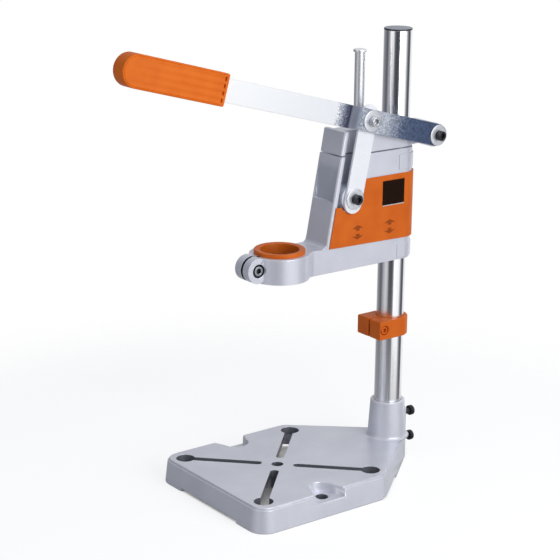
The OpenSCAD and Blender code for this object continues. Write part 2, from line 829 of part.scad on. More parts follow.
module lever_bar() {
    hole = screw_d + 2 * run_gap;
    color(zinc) on_lever() difference() {
        intersection() {
            translate([0, 0, -bar_w / 2]) linear_extrude(bar_w) bar_plan();
            yz(0, 4 * body_half) {
                circle(d = bar_w);
                translate([-lever_reach, -bar_w / 2]) square([lever_reach, bar_w]);
            }
        }
        to_right([0, 0, 0]) cylinder(d = hole, h = 4 * body_half);
        to_right([0, -lever_arm, 0]) cylinder(d = hole, h = 4 * body_half);
    }
}

// Side view of the grip, drawn in by inset, with a straight rear end and a full round front
module grip_view(inset) {
    r = grip_w / 2;
    translate([r - lever_reach, 0]) circle(r = r - inset);
    translate([r - lever_reach, inset - r]) square([grip_l - r - inset, 2 * (r - inset)]);
}

module grip() {
    soft = 2;
    groove_r = 1.6;
    mid = lever_x + jog + bar_t / 2;
    pitch = (grip_w - 2 * soft) / grip_grooves;
    color(orange) on_lever() difference() {
        hull() {
            yz(mid - grip_t / 2 + soft, mid + grip_t / 2 - soft) grip_view(0);
            yz(mid - grip_t / 2, mid + grip_t / 2) grip_view(soft);
        }
        translate([lever_x + jog - seat_gap, -bar_end - seat_gap, -bar_w / 2 - seat_gap])
            cube([bar_t + 2 * seat_gap, grip_l, bar_w + 2 * seat_gap]);
        for (side = [-1, 1], row = [0 : grip_grooves - 1]) {
            up = (row - (grip_grooves - 1) / 2) * pitch;
            translate([mid + side * (grip_t / 2 + 0.9), grip_l - lever_reach + 1, up])
                rotate([90, 0, 0]) cylinder(r = groove_r, h = grip_l - grip_w / 2, $fn = 24);
        }
    }
}

// Bright pivot bolt of the lever and the link, screwed home in the lever
module lever_bolt() {
    seat = lever_face + washer_t + eps;
    color(zinc) to_right([seat, upper_pivot[0], upper_pivot[1]])
        cap_screw(screw_d, seat - link_x, screw_head_d, screw_head_h, screw_key);
}

module lever_washer() {
    color(zinc) to_right([lever_face + eps / 2, upper_pivot[0], upper_pivot[1]])
        flat_washer(washer_d, screw_d + 2 * seat_gap, washer_t);
}

module link() {
    hole = screw_d + 2 * run_gap;
    over = link_end - link_w / 2;
    color(zinc) translate([0, upper_pivot[0], upper_pivot[1]]) rotate([-link_lean, 0, 0]) difference() {
        yz(link_x, link_x + link_t) {
            translate([0, over]) circle(d = link_w);
            translate([0, -link_l - over]) circle(d = link_w);
            translate([-link_w / 2, -link_l - over]) square([link_w, link_l + 2 * over]);
        }
        to_right([0, 0, 0]) cylinder(d = hole, h = 4 * body_half);
        to_right([0, 0, -link_l]) cylinder(d = hole, h = 4 * body_half);
    }
}

module link_bolt() {
    seat = link_x + link_t + washer_t + eps;
    color(black) to_right([seat, lower_pivot[0], lower_pivot[1]])
        cap_screw(screw_d, seat - neck_half - 2.5, screw_head_d, screw_head_h, screw_key);
}

module link_washer() {
    color(zinc) to_right([link_x + link_t + eps / 2, lower_pivot[0], lower_pivot[1]])
        flat_washer(washer_d, screw_d + 2 * seat_gap, washer_t);
}

base_plate();
column_screw_lower();
column_screw_upper();
column();
column_cap();
depth_stop();
stop_screw();
stop_nut();
head();
head_screw();
fulcrum_bolt();
fulcrum_washer();
spring_pin_upper();
return_spring();
carriage();
side_cover();
cover_plate();
collar_bush();
collar_screw();
collar_nut();
guide_rod();
spring_pin_lower();
lever_bar();
grip();
lever_bolt();
lever_washer();
link();
link_bolt();
link_washer();
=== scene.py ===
import json
import math

import bmesh
import bpy
import numpy as np
from mathutils import Matrix, Vector


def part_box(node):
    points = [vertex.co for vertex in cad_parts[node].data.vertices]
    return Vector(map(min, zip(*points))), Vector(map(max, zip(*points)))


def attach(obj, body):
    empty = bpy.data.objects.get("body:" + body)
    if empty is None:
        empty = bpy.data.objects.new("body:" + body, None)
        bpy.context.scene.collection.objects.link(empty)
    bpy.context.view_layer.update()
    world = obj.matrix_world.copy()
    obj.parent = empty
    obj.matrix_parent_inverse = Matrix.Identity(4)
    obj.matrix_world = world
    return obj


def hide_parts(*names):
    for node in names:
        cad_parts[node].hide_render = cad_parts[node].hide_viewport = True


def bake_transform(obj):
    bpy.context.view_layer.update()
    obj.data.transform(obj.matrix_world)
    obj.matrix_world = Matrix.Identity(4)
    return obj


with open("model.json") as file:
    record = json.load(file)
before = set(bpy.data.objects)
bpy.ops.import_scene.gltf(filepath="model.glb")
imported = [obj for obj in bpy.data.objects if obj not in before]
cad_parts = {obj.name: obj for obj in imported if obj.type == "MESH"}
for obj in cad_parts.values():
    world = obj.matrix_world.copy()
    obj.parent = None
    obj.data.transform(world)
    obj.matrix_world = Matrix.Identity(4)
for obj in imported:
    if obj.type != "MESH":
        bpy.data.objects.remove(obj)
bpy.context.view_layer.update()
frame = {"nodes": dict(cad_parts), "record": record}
mm = 0.001  # pieces are in mm; grain, camera, lamps and floor are in metres
weld = 0.002 * mm  # points nearer than this are one
alongX, alongY, alongZ = (1, 0, 0), (0, 1, 0), (0, 0, 1)
white = (1.0, 1.0, 1.0)
behaviour = frame["record"]["behaviour"]
bodyOf = {part: body for body, parts in behaviour["bodies"].items() for part in parts}


# Shaders

def feed(tree, node, *inputs, **sockets):  # inputs in order or by name, each a link or a fixed value
    entries = list(zip(node.inputs, inputs))
    entries += [(node.inputs[name.replace("_", " ")], value) for name, value in sockets.items()]
    for entry, value in entries:
        if isinstance(value, bpy.types.NodeSocket):
            tree.links.new(value, entry)
        elif value is not None:
            entry.default_value = value
    return node


def addNode(tree, kind, *inputs, settings=None, **sockets):
    made = tree.nodes.new("ShaderNode" + kind)
    for key, value in (settings or {}).items():
        setattr(made, key, value)
    return feed(tree, made, *inputs, **sockets)


def newFinish(name, **sockets):
    finish = bpy.data.materials.new(name)
    finish.use_nodes = True
    shader = feed(finish.node_tree, finish.node_tree.nodes["Principled BSDF"], **sockets)
    return finish, finish.node_tree, shader


def placeOn(tree):  # place on the piece, in metres
    return addNode(tree, "TexCoord").outputs["Object"]


def placeXYZ(tree):
    return addNode(tree, "SeparateXYZ", placeOn(tree)).outputs


def calc(tree, operation, *values):
    return addNode(tree, "Math", *values, settings={"operation": operation}).outputs[0]


def vectorCalc(tree, operation, *vectors):
    made = addNode(tree, "VectorMath", *vectors, settings={"operation": operation})
    return made.outputs["Value" if operation in ("DOT_PRODUCT", "DISTANCE", "LENGTH") else "Vector"]


def below(tree, value, limit):  # 1 where a value is under a limit, 0 elsewhere
    return calc(tree, "LESS_THAN", value, limit)


def above(tree, value, limit):
    return calc(tree, "GREATER_THAN", value, limit)


def both(tree, a, b):  # 1 where two such masks are 1
    return calc(tree, "MULTIPLY", a, b)


def between(tree, value, low, high, least=0.0, easing="LINEAR"):  # least up to low, 1 from high on
    made = addNode(tree, "MapRange", settings={"clamp": True, "interpolation_type": easing},
                   Value=value, From_Min=low, From_Max=high, To_Min=least)
    return made.outputs["Result"]


def alongFrom(tree, origin, toward):  # distance in mm along a direction from an origin in mm
    away = vectorCalc(tree, "SUBTRACT", placeOn(tree), [o * mm for o in origin])
    return vectorCalc(tree, "DOT_PRODUCT", away, [t / mm for t in toward])


def opaque(tone):  # colour with its alpha, from a colour or a grey level; a link stays as it is
    if isinstance(tone, bpy.types.NodeSocket):
        return tone
    return (*tone, 1) if isinstance(tone, (tuple, list)) else (tone, tone, tone, 1)


def ramp(tree, fac, stops):  # stops: (place, grey level or colour)
    made = addNode(tree, "ValToRGB", Fac=fac)
    points = made.color_ramp.elements
    while len(points) < len(stops):
        points.new(0.5)
    for point, (place, tone) in zip(points, stops):
        point.position = place
        point.color = opaque(tone)
    return made.outputs["Color"]


def mixed(tree, fac, a, b, kind="MIX"):  # the node's colours are its seventh and eighth inputs
    made = addNode(tree, "Mix", settings={"data_type": "RGBA", "blend_type": kind})
    feed(tree, made, fac, *[None] * 5, opaque(a), opaque(b))
    return made.outputs[2]


def grainAt(tree, size, detail=3.0, stretch=(1, 1, 1)):  # noise of about that size, in metres
    scaled = addNode(tree, "Mapping", Vector=placeOn(tree), Scale=[s / size for s in stretch])
    noise = addNode(tree, "TexNoise", Vector=scaled.outputs["Vector"], Scale=1.0, Detail=detail)
    return noise.outputs["Fac"]


def shades(tree, noise, tones, spread=(0.3, 0.7)):  # two tones or levels, from the low to the high noise
    return ramp(tree, noise, list(zip(spread, tones)))


def dress(tree, shader, tone, grain, roughness):  # a tone, and a roughness that varies at that grain
    feed(tree, shader, Base_Color=tone, Roughness=shades(tree, grainAt(tree, grain), roughness))


def bumpy(tree, shader, height, depth, strength):
    bump = addNode(tree, "Bump", Height=height, Distance=depth, Strength=strength)
    feed(tree, shader, Normal=bump.outputs["Normal"])


# Paint of the castings

# tone: painted shade on the walls of the slots and holes
baseHoles = {"top": 25, "lip": 0.5, "margin": 0.4, "slotPitch": 132, "slot": 8.5, "slotEnd": 19,
             "centre": 12, "boltPitch": 144, "bolt": 12, "crisp": 0.3, "tone": (0.155, 0.16, 0.185)}


def holeRounds(form):  # middle and diameter of the round holes, in the quarter with x and y positive
    half = form["slotPitch"] / 2
    return (half, half, form["slotEnd"]), (0, 0, form["centre"]), (form["boltPitch"] / 2, 0, form["bolt"])


def holeWallShade(tree, form):  # 1 on the walls of the base's slots and holes, where shade is painted
    place = placeXYZ(tree)
    across, along = (calc(tree, "ABSOLUTE", place[axis]) for axis in "XY")
    offLine = calc(tree, "ABSOLUTE", calc(tree, "SUBTRACT", across, along))
    walls = below(tree, offLine, (form["slot"] / 2 + form["margin"]) * math.sqrt(2) * mm)
    walls = both(tree, walls, below(tree, across, form["slotPitch"] / 2 * mm))
    flat = addNode(tree, "CombineXYZ", X=across, Y=along).outputs["Vector"]
    for x, y, d in holeRounds(form):
        away = vectorCalc(tree, "DISTANCE", flat, (x * mm, y * mm, 0))
        walls = calc(tree, "MAXIMUM", walls, below(tree, away, (d / 2 + form["margin"]) * mm))
    return both(tree, walls, below(tree, place["Z"], (form["top"] - form["lip"]) * mm))


# tone: painted shade, multiplied on the sunk floor of the nose's pocket
nosePocket = {"foot": (0, 44, 244.4), "lean": 10.6, "half": 15.2, "up": 46.3, "deep": (0.2, 0.7),
              "tone": (0.80, 0.83, 0.86)}


def pocketFloorShade(tree, form):  # 1 on the sunk floor of the nose, where shade is painted, by its depth behind the leaning front face
    lean = math.radians(form["lean"])
    depth = alongFrom(tree, form["foot"], (0, math.cos(lean), -math.sin(lean)))
    risen = alongFrom(tree, form["foot"], (0, math.sin(lean), math.cos(lean)))
    aside = calc(tree, "ABSOLUTE", alongFrom(tree, form["foot"], alongX))
    inside = both(tree, below(tree, aside, form["half"]), above(tree, risen, form["up"]))
    return both(tree, between(tree, depth, *form["deep"]), inside)


# tone: painted shade in the collar's slit and counterbore
collarGaps = {"slit": 2.6, "front": -16, "sink": 13, "faces": (2, 10.6), "margin": 0.25,
              "tone": (0.035, 0.036, 0.05)}


def gapWallShade(tree, form):  # 1 on the walls of the collar's slit and of its screw's counterbore, where shade is painted
    place = placeXYZ(tree)
    slit = below(tree, calc(tree, "ABSOLUTE", place["X"]), (form["slit"] / 2 + form["margin"]) * mm)
    slit = both(tree, slit, below(tree, place["Y"], form["front"] * mm))
    low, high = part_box("collar_screw")
    flat = addNode(tree, "CombineXYZ", Y=place["Y"], Z=place["Z"]).outputs["Vector"]
    away = vectorCalc(tree, "DISTANCE", flat, (0, (low[1] + high[1]) / 2, (low[2] + high[2]) / 2))
    sink = below(tree, away, (form["sink"] / 2 + form["margin"]) * mm)
    inner, outer = form["faces"]
    sink = both(tree, sink, above(tree, place["X"], inner * mm))
    sink = both(tree, sink, below(tree, place["X"], outer * mm))
    return calc(tree, "MAXIMUM", slit, sink)


castPaint = {"tones": ((0.63, 0.64, 0.705), (0.70, 0.71, 0.775)), "cloud": 0.035, "metallic": 0.3,
             "flake": 0.0005, "flakeTones": (0.94, 1.0), "flakeSpread": (0.35, 0.65),
             "peel": 0.0022, "peelDepth": 0.00004, "peelStrength": 0.35, "roughness": (0.30, 0.38),
             "coat": 0.10, "coatRoughness": 0.30}


def makeCastPaint(name, holes=None, pocket=None, gaps=None):
    look = castPaint
    finish, tree, shader = newFinish(name, Metallic=look["metallic"], Coat_Weight=look["coat"],
                                     Coat_Roughness=look["coatRoughness"])
    clouds = shades(tree, grainAt(tree, look["cloud"]), look["tones"])
    flakes = grainAt(tree, look["flake"], detail=1.0)
    flakes = shades(tree, flakes, look["flakeTones"], look["flakeSpread"])
    tone = mixed(tree, 1.0, clouds, flakes, "MULTIPLY")
    if holes:
        # painted shade on the walls of the base's slots and holes
        tone = mixed(tree, holeWallShade(tree, holes), tone, holes["tone"])
    if gaps:
        # painted shade in the collar's slit and its screw's counterbore
        tone = mixed(tree, gapWallShade(tree, gaps), tone, gaps["tone"])
    if pocket:
        # painted shade on the sunk floor of the nose's pocket
        tone = mixed(tree, pocketFloorShade(tree, pocket), tone, pocket["tone"], "MULTIPLY")
    dress(tree, shader, tone, look["peel"], look["roughness"])
    bumpy(tree, shader, grainAt(tree, look["peel"], detail=2.0), look["peelDepth"], look["peelStrength"])
    return finish


# Orange plastic and paint

orange = {"tones": ((0.575, 0.105, 0.005), (0.655, 0.135, 0.009)), "cloud": 0.02, "patch": 0.005,
          "gripTones": ((0.67, 0.126, 0.004), (0.75, 0.156, 0.007)), "specular": 0.22,
          "grain": 0.0006, "grainStrength": 0.4, "sunkShadeTone": (0.30, 0.055, 0.003), "sideFace": 18.27,
          "rear": 140, "boreShadeTone": (0.74, 0.80, 0.80), "bore": 19.3}
orangeKinds = {  # tones, roughness, depth of the grain
    "moulded": ("tones", (0.40, 0.50), 0.00003),
    "grip": ("gripTones", (0.46, 0.58), 0.00005),
    "paint": ("tones", (0.36, 0.46), 0.00002),
}


def makeOrange(name, kind="moulded", sunk=False, bored=False):
    look = orange
    tones, roughness, grainDepth = orangeKinds[kind]
    finish, tree, shader = newFinish(name, Specular_IOR_Level=look["specular"])
    tone = shades(tree, grainAt(tree, look["cloud"]), look[tones])
    if sunk:  # painted shade on the cover's edges and the floors of its arrows, which lie behind its side faces
        place = placeXYZ(tree)
        behind = below(tree, calc(tree, "ABSOLUTE", place["X"]), look["sideFace"] * mm)
        fore = below(tree, place["Y"], look["rear"] * mm)
        tone = mixed(tree, both(tree, behind, fore), tone, look["sunkShadeTone"])
    if bored:  # painted shade on the inside of the bush, by its distance from the drilling axis
        off = vectorCalc(tree, "LENGTH", vectorCalc(tree, "MULTIPLY", placeOn(tree), (1, 1, 0)))
        shadedBore = mixed(tree, 1.0, tone, look["boreShadeTone"], "MULTIPLY")
        tone = mixed(tree, below(tree, off, look["bore"] * mm), tone, shadedBore)
    dress(tree, shader, tone, look["patch"], roughness)
    bumpy(tree, shader, grainAt(tree, look["grain"], detail=2.0), grainDepth, look["grainStrength"])
    return finish


# Chrome and zinc

chrome = {"tones": ((0.86, 0.865, 0.88), (0.91, 0.915, 0.93)), "roughness": (0.14, 0.20), "streak": 0.0012,
          "drawn": (1, 1, 0.03), "anisotropy": 0.95, "turn": 0.25}


def makeChrome(look):  # ground round and round, so that it blurs most along its axis
    finish, tree, shader = newFinish("chrome", Metallic=1.0, Anisotropic=look["anisotropy"],
                                     Anisotropic_Rotation=look["turn"])
    streaks = grainAt(tree, look["streak"], detail=2.0, stretch=look["drawn"])
    around = vectorCalc(tree, "CROSS_PRODUCT", addNode(tree, "NewGeometry").outputs["Normal"], alongZ)
    feed(tree, shader, Base_Color=shades(tree, streaks, look["tones"]),
         Roughness=shades(tree, streaks, look["roughness"]), Tangent=around)
    return finish


zinc = {"spangle": 0.0022, "speck": 0.0007, "speckShare": 0.75, "speckDepth": 0.00002,
        "speckStrength": 0.4, "spread": (0.35, 0.65), "patch": 0.002, "roughness": (0.30, 0.42)}
zincKinds = {  # dull and light tones, metallic share
    "zinc": ((0.64, 0.66, 0.71), (0.80, 0.81, 0.85), 0.75),
    "rodZinc": ((0.80, 0.81, 0.84), (0.88, 0.885, 0.91), 0.85),
    # a darker copy of the zinc: painted shade on the lever bolt
    "boltZincShaded": ((0.44, 0.45, 0.48), (0.60, 0.61, 0.64), 0.7),
    "linkZinc": ((0.83, 0.835, 0.865), (0.87, 0.875, 0.905), 0.15),
}


def mottle(tree):  # zinc crystals and fine specks, about 0.5
    crystals = addNode(tree, "TexVoronoi", Vector=placeOn(tree), Scale=1 / zinc["spangle"])
    specks = grainAt(tree, zinc["speck"], detail=4.0)
    return mixed(tree, zinc["speckShare"], crystals.outputs["Color"], specks)


def finishZinc(tree, shader, tone):
    dress(tree, shader, tone, zinc["patch"], zinc["roughness"])
    bumpy(tree, shader, grainAt(tree, zinc["speck"]), zinc["speckDepth"], zinc["speckStrength"])


def makeZinc(name):
    *tones, metallic = zincKinds[name]
    finish, tree, shader = newFinish(name, Metallic=metallic)
    finishZinc(tree, shader, shades(tree, mottle(tree), tones, zinc["spread"]))
    return finish


leverZincReflection = {  # places in mm along the bar, from the fulcrum; the tones are a painted reflection
    "metallic": 0.25, "reach": (-12, 288), "jog": (118, 13.5), "bare": 147,
    "fleck": 0.0015, "blur": (46, 22),  # how far a fleck carries a tone, behind the jog and before it
    "sheen": (0.40, 0.64, 1.34),  # where the mottle starts, its dull and its bright share
    "starSize": 0.0012, "star": (0.27, 0.30, 0.38), "stars": (0.58, 0.78, 0.5),  # start, full, most
    # painted reflection along the bar: dark behind, light bands, a dark band at the jog, a white front
    "tones": [(-12, (0.03, 0.045, 0.09)), (14, (0.045, 0.07, 0.14)), (46, (0.055, 0.082, 0.15)),
              (57, (0.20, 0.23, 0.31)), (68, (0.40, 0.43, 0.49)), (86, (0.50, 0.52, 0.58)),
              (98, (0.42, 0.45, 0.51)), (107, (0.28, 0.31, 0.37)), (111, (0.17, 0.185, 0.245)),
              (128, (0.17, 0.185, 0.245)), (129.5, (0.025, 0.03, 0.06)), (134, (0.05, 0.055, 0.10)),
              (139, (0.24, 0.26, 0.34)), (143, (0.55, 0.57, 0.63)), (147, (0.80, 0.81, 0.83)),
              (288, (0.87, 0.875, 0.875))]}
hinges = [joint for joint in behaviour["joints"] if joint["type"] == "hinge"]
pivots = {joint["name"]: np.array(joint["pos_m"]) / mm for joint in hinges}
fulcrum = pivots["lever_turn"]
alongLever = pivots["link_turn"] - fulcrum
alongLever[0] = 0
alongLever /= np.linalg.norm(alongLever)
acrossLever = np.array([0, alongLever[2], -alongLever[1]])


def makeLeverZincReflection(look):  # painted reflection: the tone follows the place along the bar, broken up by specks
    finish, tree, shader = newFinish("leverZincReflection", Metallic=look["metallic"])
    reach = alongFrom(tree, fulcrum, alongLever)
    jogMid, jogHalf = look["jog"]
    inJog = calc(tree, "COMPARE", reach, jogMid, jogHalf)
    plain = calc(tree, "MAXIMUM", inJog, above(tree, reach, look["bare"]))  # the painted reflection stays crisp in the bends and plain on the white front
    flecked = calc(tree, "SUBTRACT", 1.0, plain)
    rearBlur, foreBlur = look["blur"]
    blur = calc(tree, "MULTIPLY_ADD", above(tree, reach, jogMid), foreBlur - rearBlur, rearBlur)
    fleck = calc(tree, "SUBTRACT", grainAt(tree, look["fleck"]), 0.5)
    stray = calc(tree, "MULTIPLY", fleck, calc(tree, "MULTIPLY", blur, flecked))
    low, high = look["reach"]
    share = between(tree, calc(tree, "ADD", stray, reach), low, high)
    tone = ramp(tree, share, [((spot - low) / (high - low), colour) for spot, colour in look["tones"]])
    start, dull, bright = look["sheen"]
    specks = ramp(tree, mottle(tree), [(start, dull), (1 - start, bright)])
    tone = mixed(tree, 1.0, tone, mixed(tree, flecked, white, specks), "MULTIPLY")
    start, full, most = look["stars"]
    stars = ramp(tree, grainAt(tree, look["starSize"], detail=2.0), [(start, 0.0), (full, most)])
    stars = calc(tree, "MULTIPLY", stars, flecked)
    finishZinc(tree, shader, mixed(tree, stars, tone, look["star"]))
    return finish


# Black oxide, cover plate and column plug

oxide = {"tones": ((0.010, 0.011, 0.014), (0.036, 0.038, 0.046)), "cloud": 0.002, "grain": 0.0008,
         "roughness": (0.28, 0.46), "metallic": 0.5, "highlightTone": (0.27, 0.28, 0.31), "highlightDepth": 0.45}


def makeBlackOxide(name, highlit=None):
    look = oxide
    finish, tree, shader = newFinish(name, Metallic=look["metallic"])
    tone = shades(tree, grainAt(tree, look["cloud"]), look["tones"])
    if highlit:  # painted highlight on the end face, by its depth along X
        depth = alongFrom(tree, (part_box(highlit)[1][0] / mm, 0, 0), (-1, 0, 0))
        tone = mixed(tree, below(tree, depth, look["highlightDepth"]), tone, look["highlightTone"])
    dress(tree, shader, tone, look["grain"], look["roughness"])
    return finish


plateBlack = {"tones": ((0.009, 0.003, 0.001), (0.016, 0.006, 0.003)), "cloud": 0.003, "grain": 0.0006,
              "roughness": (0.30, 0.42), "specular": 0.06, "edge": 0.9, "edgeTone": (0.55, 0.52, 0.50)}


def makePlateBlack(look):
    finish, tree, shader = newFinish("plateBlack", Specular_IOR_Level=look["specular"])
    black = shades(tree, grainAt(tree, look["cloud"]), look["tones"])
    risen = alongFrom(tree, (0, 0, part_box("cover_plate")[0][2] / mm), alongZ)
    tone = mixed(tree, below(tree, risen, look["edge"]), black, look["edgeTone"])  # pale lower edge
    dress(tree, shader, tone, look["grain"], look["roughness"])
    return finish


plugGrey = {"tones": ((0.31, 0.32, 0.36), (0.37, 0.38, 0.42)), "cloud": 0.004, "grain": 0.0006,
            "roughness": (0.45, 0.6), "face": 0.25, "edgeTone": (0.020, 0.022, 0.032)}


def makeGreyPlastic(look):
    finish, tree, shader = newFinish("greyPlastic")
    grey = shades(tree, grainAt(tree, look["cloud"]), look["tones"])
    sunk = alongFrom(tree, (0, 0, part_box("column")[1][2] / mm), (0, 0, -1))
    tone = mixed(tree, above(tree, sunk, look["face"]), grey, look["edgeTone"])  # black edge
    dress(tree, shader, tone, look["grain"], look["roughness"])
    return finish


finishes = {  # by the record's slot
    "cast_paint": makeCastPaint("castPaint"),
    "chrome_tube": makeChrome(chrome),
    "grey_plastic": makeGreyPlastic(plugGrey),
    "orange_plastic": makeOrange("orangePlastic"),
    "orange_grip": makeOrange("orangeGrip", "grip"),
    "orange_paint": makeOrange("orangePaint", "paint"),
    "black_plate": makePlateBlack(plateBlack),
    "zinc_steel": makeZinc("zinc"),
    "black_steel": makeBlackOxide("blackOxide"),
}
special = {  # by the piece, where it differs from the rest of its slot
    "basePlate": makeCastPaint("basePaint", holes=baseHoles),
    "carriageCasting": makeCastPaint("carriagePaint", pocket=nosePocket, gaps=collarGaps),
    "collarScrew": makeBlackOxide("highlitOxide", "collar_screw"),
    "guideRod": makeZinc("rodZinc"),
    "leverBolt": makeZinc("boltZincShaded"),
    "collarBush": makeOrange("orangeBush", bored=True),
    "sideCover": makeOrange("orangeCover", sunk=True),
    "leverBar": makeLeverZincReflection(leverZincReflection),
    "pivotLink": makeZinc("linkZinc"),
}
print("finishes made:", len(finishes) + len(special))


# Meshes and pieces

def gridQuads(rows, cols):  # quads of a rows x cols grid of points, in order
    start = np.arange(rows - 1)[:, None] * cols + np.arange(cols - 1)
    return np.stack([start, start + 1, start + cols + 1, start + cols], -1).reshape(-1, 4)


def meshOf(name, grids, holes=None):  # one mesh of grids of points in metres, less the marked quads
    points = np.concatenate([g.reshape(-1, 3) for g in grids])
    starts = np.cumsum([0] + [g.shape[0] * g.shape[1] for g in grids])
    quads = [gridQuads(*g.shape[:2]) + s for g, s in zip(grids, starts)]
    if holes:
        quads = [q if h is None else q[~h.ravel()] for q, h in zip(quads, holes)]
    quads = np.concatenate(quads)
    mesh = bpy.data.meshes.new(name)
    mesh.vertices.add(len(points))
    mesh.vertices.foreach_set("co", points.astype(np.float32).ravel())
    mesh.loops.add(quads.size)
    mesh.loops.foreach_set("vertex_index", quads.astype(np.int32).ravel())
    mesh.polygons.add(len(quads))
    mesh.polygons.foreach_set("loop_start", np.arange(0, quads.size, 4, dtype=np.int32))
    mesh.update(calc_edges=True)
    bm = bmesh.new()
    bm.from_mesh(mesh)
    bmesh.ops.remove_doubles(bm, verts=bm.verts, dist=weld)
    bmesh.ops.dissolve_degenerate(bm, edges=bm.edges, dist=weld)
    bmesh.ops.recalc_face_normals(bm, faces=bm.faces)
    bm.to_mesh(mesh)
    bm.free()
    return mesh


def finishPiece(name, mesh, part, slot, smooth=35):  # edges sharper than that many degrees stay crisp
    mesh.shade_smooth()
    mesh.set_sharp_from_angle(angle=math.radians(smooth))
    mesh.materials.clear()
    mesh.materials.append(special.get(name, finishes[slot]))
    piece = bpy.data.objects.new(name, mesh)
    bpy.context.scene.collection.objects.link(piece)
    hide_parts(part)
    return piece


# Castings and plates: copies of the CAD parts with rounded outer edges

rounding = {
    "flat": 0.4,  # degrees; faces that differ less become one
    "sharp": 24,  # degrees; sharper edges are rounded, or stay crisp
    "least": 0.3,  # share of the radius; an edge with less room stays crisp
    "ring": 6,  # a face with more corners may be a narrow ring
    "widths": 2.4,  # radii that fit across a face
    "blunt": 150,  # degrees; a blunter corner takes no room
    "reach": 0.45,  # share of a face's side that one radius may take
    "onward": -0.8,  # cosine between two edges of one smooth run
}


def edgeRoom(edge, radius):  # share of the radius that the faces beside an edge have room for
    form = rounding
    room = radius
    for loop in edge.link_loops:
        face = loop.face
        across = face.calc_area() / edge.calc_length()
        if len(face.verts) > form["ring"]:
            across = min(across, 2 * face.calc_area() / face.calc_perimeter())
        room = min(room, across / form["widths"])
        for corner, side in ((loop, loop.link_loop_prev), (loop.link_loop_next, loop.link_loop_next)):
            angle = corner.calc_angle()
            if angle < math.radians(form["blunt"]):
                room = min(room, form["reach"] * side.edge.calc_length() * math.sin(angle))
    return room / radius


def edgeRuns(edges):  # smooth runs of edges, each named by one of them
    lead = {edge: edge for edge in edges}

    def leader(edge):
        while lead[edge] is not edge:
            edge = lead[edge]
        return edge

    for edge in edges:
        for vert in edge.verts:
            along = (edge.other_vert(vert).co - vert.co).normalized()
            for other in vert.link_edges:
                if other is edge or other not in lead:
                    continue
                if along.dot((other.other_vert(vert).co - vert.co).normalized()) < rounding["onward"]:
                    lead[leader(edge)] = leader(other)
    return {edge: leader(edge) for edge in edges}


def atHole(edge, form):  # whether an edge is on the rim of one of the base's slots or holes
    spot = (edge.verts[0].co + edge.verts[1].co) / 2 / mm
    across, along = abs(spot.x), abs(spot.y)
    slotReach = (form["slot"] / 2 + form["margin"]) * math.sqrt(2)
    if abs(across - along) < slotReach and across < form["slotPitch"] / 2:
        return True
    return any(math.hypot(across - x, along - y) < d / 2 + form["margin"] for x, y, d in holeRounds(form))


def weighEdges(bm, radius, holes):  # one share of the radius along each run of outer edges
    sharp = math.radians(rounding["sharp"])
    weights = bm.edges.layers.float.new("bevel_weight_edge")
    outer = [edge for edge in bm.edges if edge.is_convex and edge.calc_face_angle(0) > sharp]
    room = {edge: edgeRoom(edge, radius * mm) for edge in outer}
    room = {edge: share for edge, share in room.items() if share > rounding["least"]}
    runs = edgeRuns(list(room))
    shares = {}
    for edge, run in runs.items():
        most = holes["crisp"] if holes and atHole(edge, holes) else 1
        shares[run] = min(shares.get(run, 1), room[edge], most)
    for edge, run in runs.items():
        edge[weights] = shares[run]
    # hollow corners, and edges without room, stay crisp
    return [not edge[weights] and edge.calc_face_angle(0) > sharp for edge in bm.edges]


def drawIn(bm, burr):  # on both sides, a sliver beside a corner goes in to that corner
    x, y, z = burr["corner"]
    for side in (-1, 1):
        corner = Vector((side * x, y, z)) * mm
        near = [vert for vert in bm.verts if (vert.co - corner).length < burr["reach"] * mm]
        bmesh.ops.pointmerge(bm, verts=near, merge_co=corner)


def softEdged(name, part, slot, radius, segments=3, holes=None, burr=None):
    mesh = frame["nodes"][part].data.copy()
    mesh.name = name
    bm = bmesh.new()
    bm.from_mesh(mesh)
    bmesh.ops.remove_doubles(bm, verts=bm.verts, dist=weld)
    flat = math.radians(rounding["flat"])
    bmesh.ops.dissolve_limit(bm, angle_limit=flat, verts=bm.verts, edges=bm.edges)
    if burr:
        drawIn(bm, burr)
    crisp = weighEdges(bm, radius, holes)
    bm.to_mesh(mesh)
    bm.free()
    piece = finishPiece(name, mesh, part, slot)
    mesh.edges.foreach_set("use_edge_sharp", crisp)
    edges = piece.modifiers.new("edges", "BEVEL")
    edges.width = radius * mm
    edges.segments = segments
    edges.limit_method = "WEIGHT"
    edges.use_clamp_overlap = False
    shade = piece.modifiers.new("shade", "WEIGHTED_NORMAL")
    shade.mode = "FACE_AREA"
    shade.weight = 100
    shade.keep_sharp = True
    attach(piece, bodyOf[part])


headBurr = {"corner": (16.8, 70.16, 357), "reach": 0.9}
castings = {
    "basePlate": {"part": "base_plate", "slot": "cast_paint", "radius": 1.0, "holes": baseHoles},
    "castHead": {"part": "head", "slot": "cast_paint", "radius": 0.9, "burr": headBurr},
    "carriageCasting": {"part": "carriage", "slot": "cast_paint", "radius": 0.9},
    "depthStop": {"part": "depth_stop", "slot": "orange_plastic", "radius": 1.1},
    "sideCover": {"part": "side_cover", "slot": "orange_plastic", "radius": 0.25},
    "leverBar": {"part": "lever_bar", "slot": "zinc_steel", "radius": 0.5},
    "pivotLink": {"part": "link", "slot": "zinc_steel", "radius": 0.5},
}
for name, form in castings.items():
    softEdged(name, **form)
print("castings rounded:", len(castings))


# Column, guide rod, bush, washers and pins

def span(part, toward, origin=(0, 0, 0)):  # lowest and highest reach of a part along a direction, in mm
    points = np.empty(len(frame["nodes"][part].data.vertices) * 3, np.float32)
    frame["nodes"][part].data.vertices.foreach_get("co", points)
    reach = (points.reshape(-1, 3) / mm - np.array(origin)) @ np.array(toward, float)
    return reach.min(), reach.max()


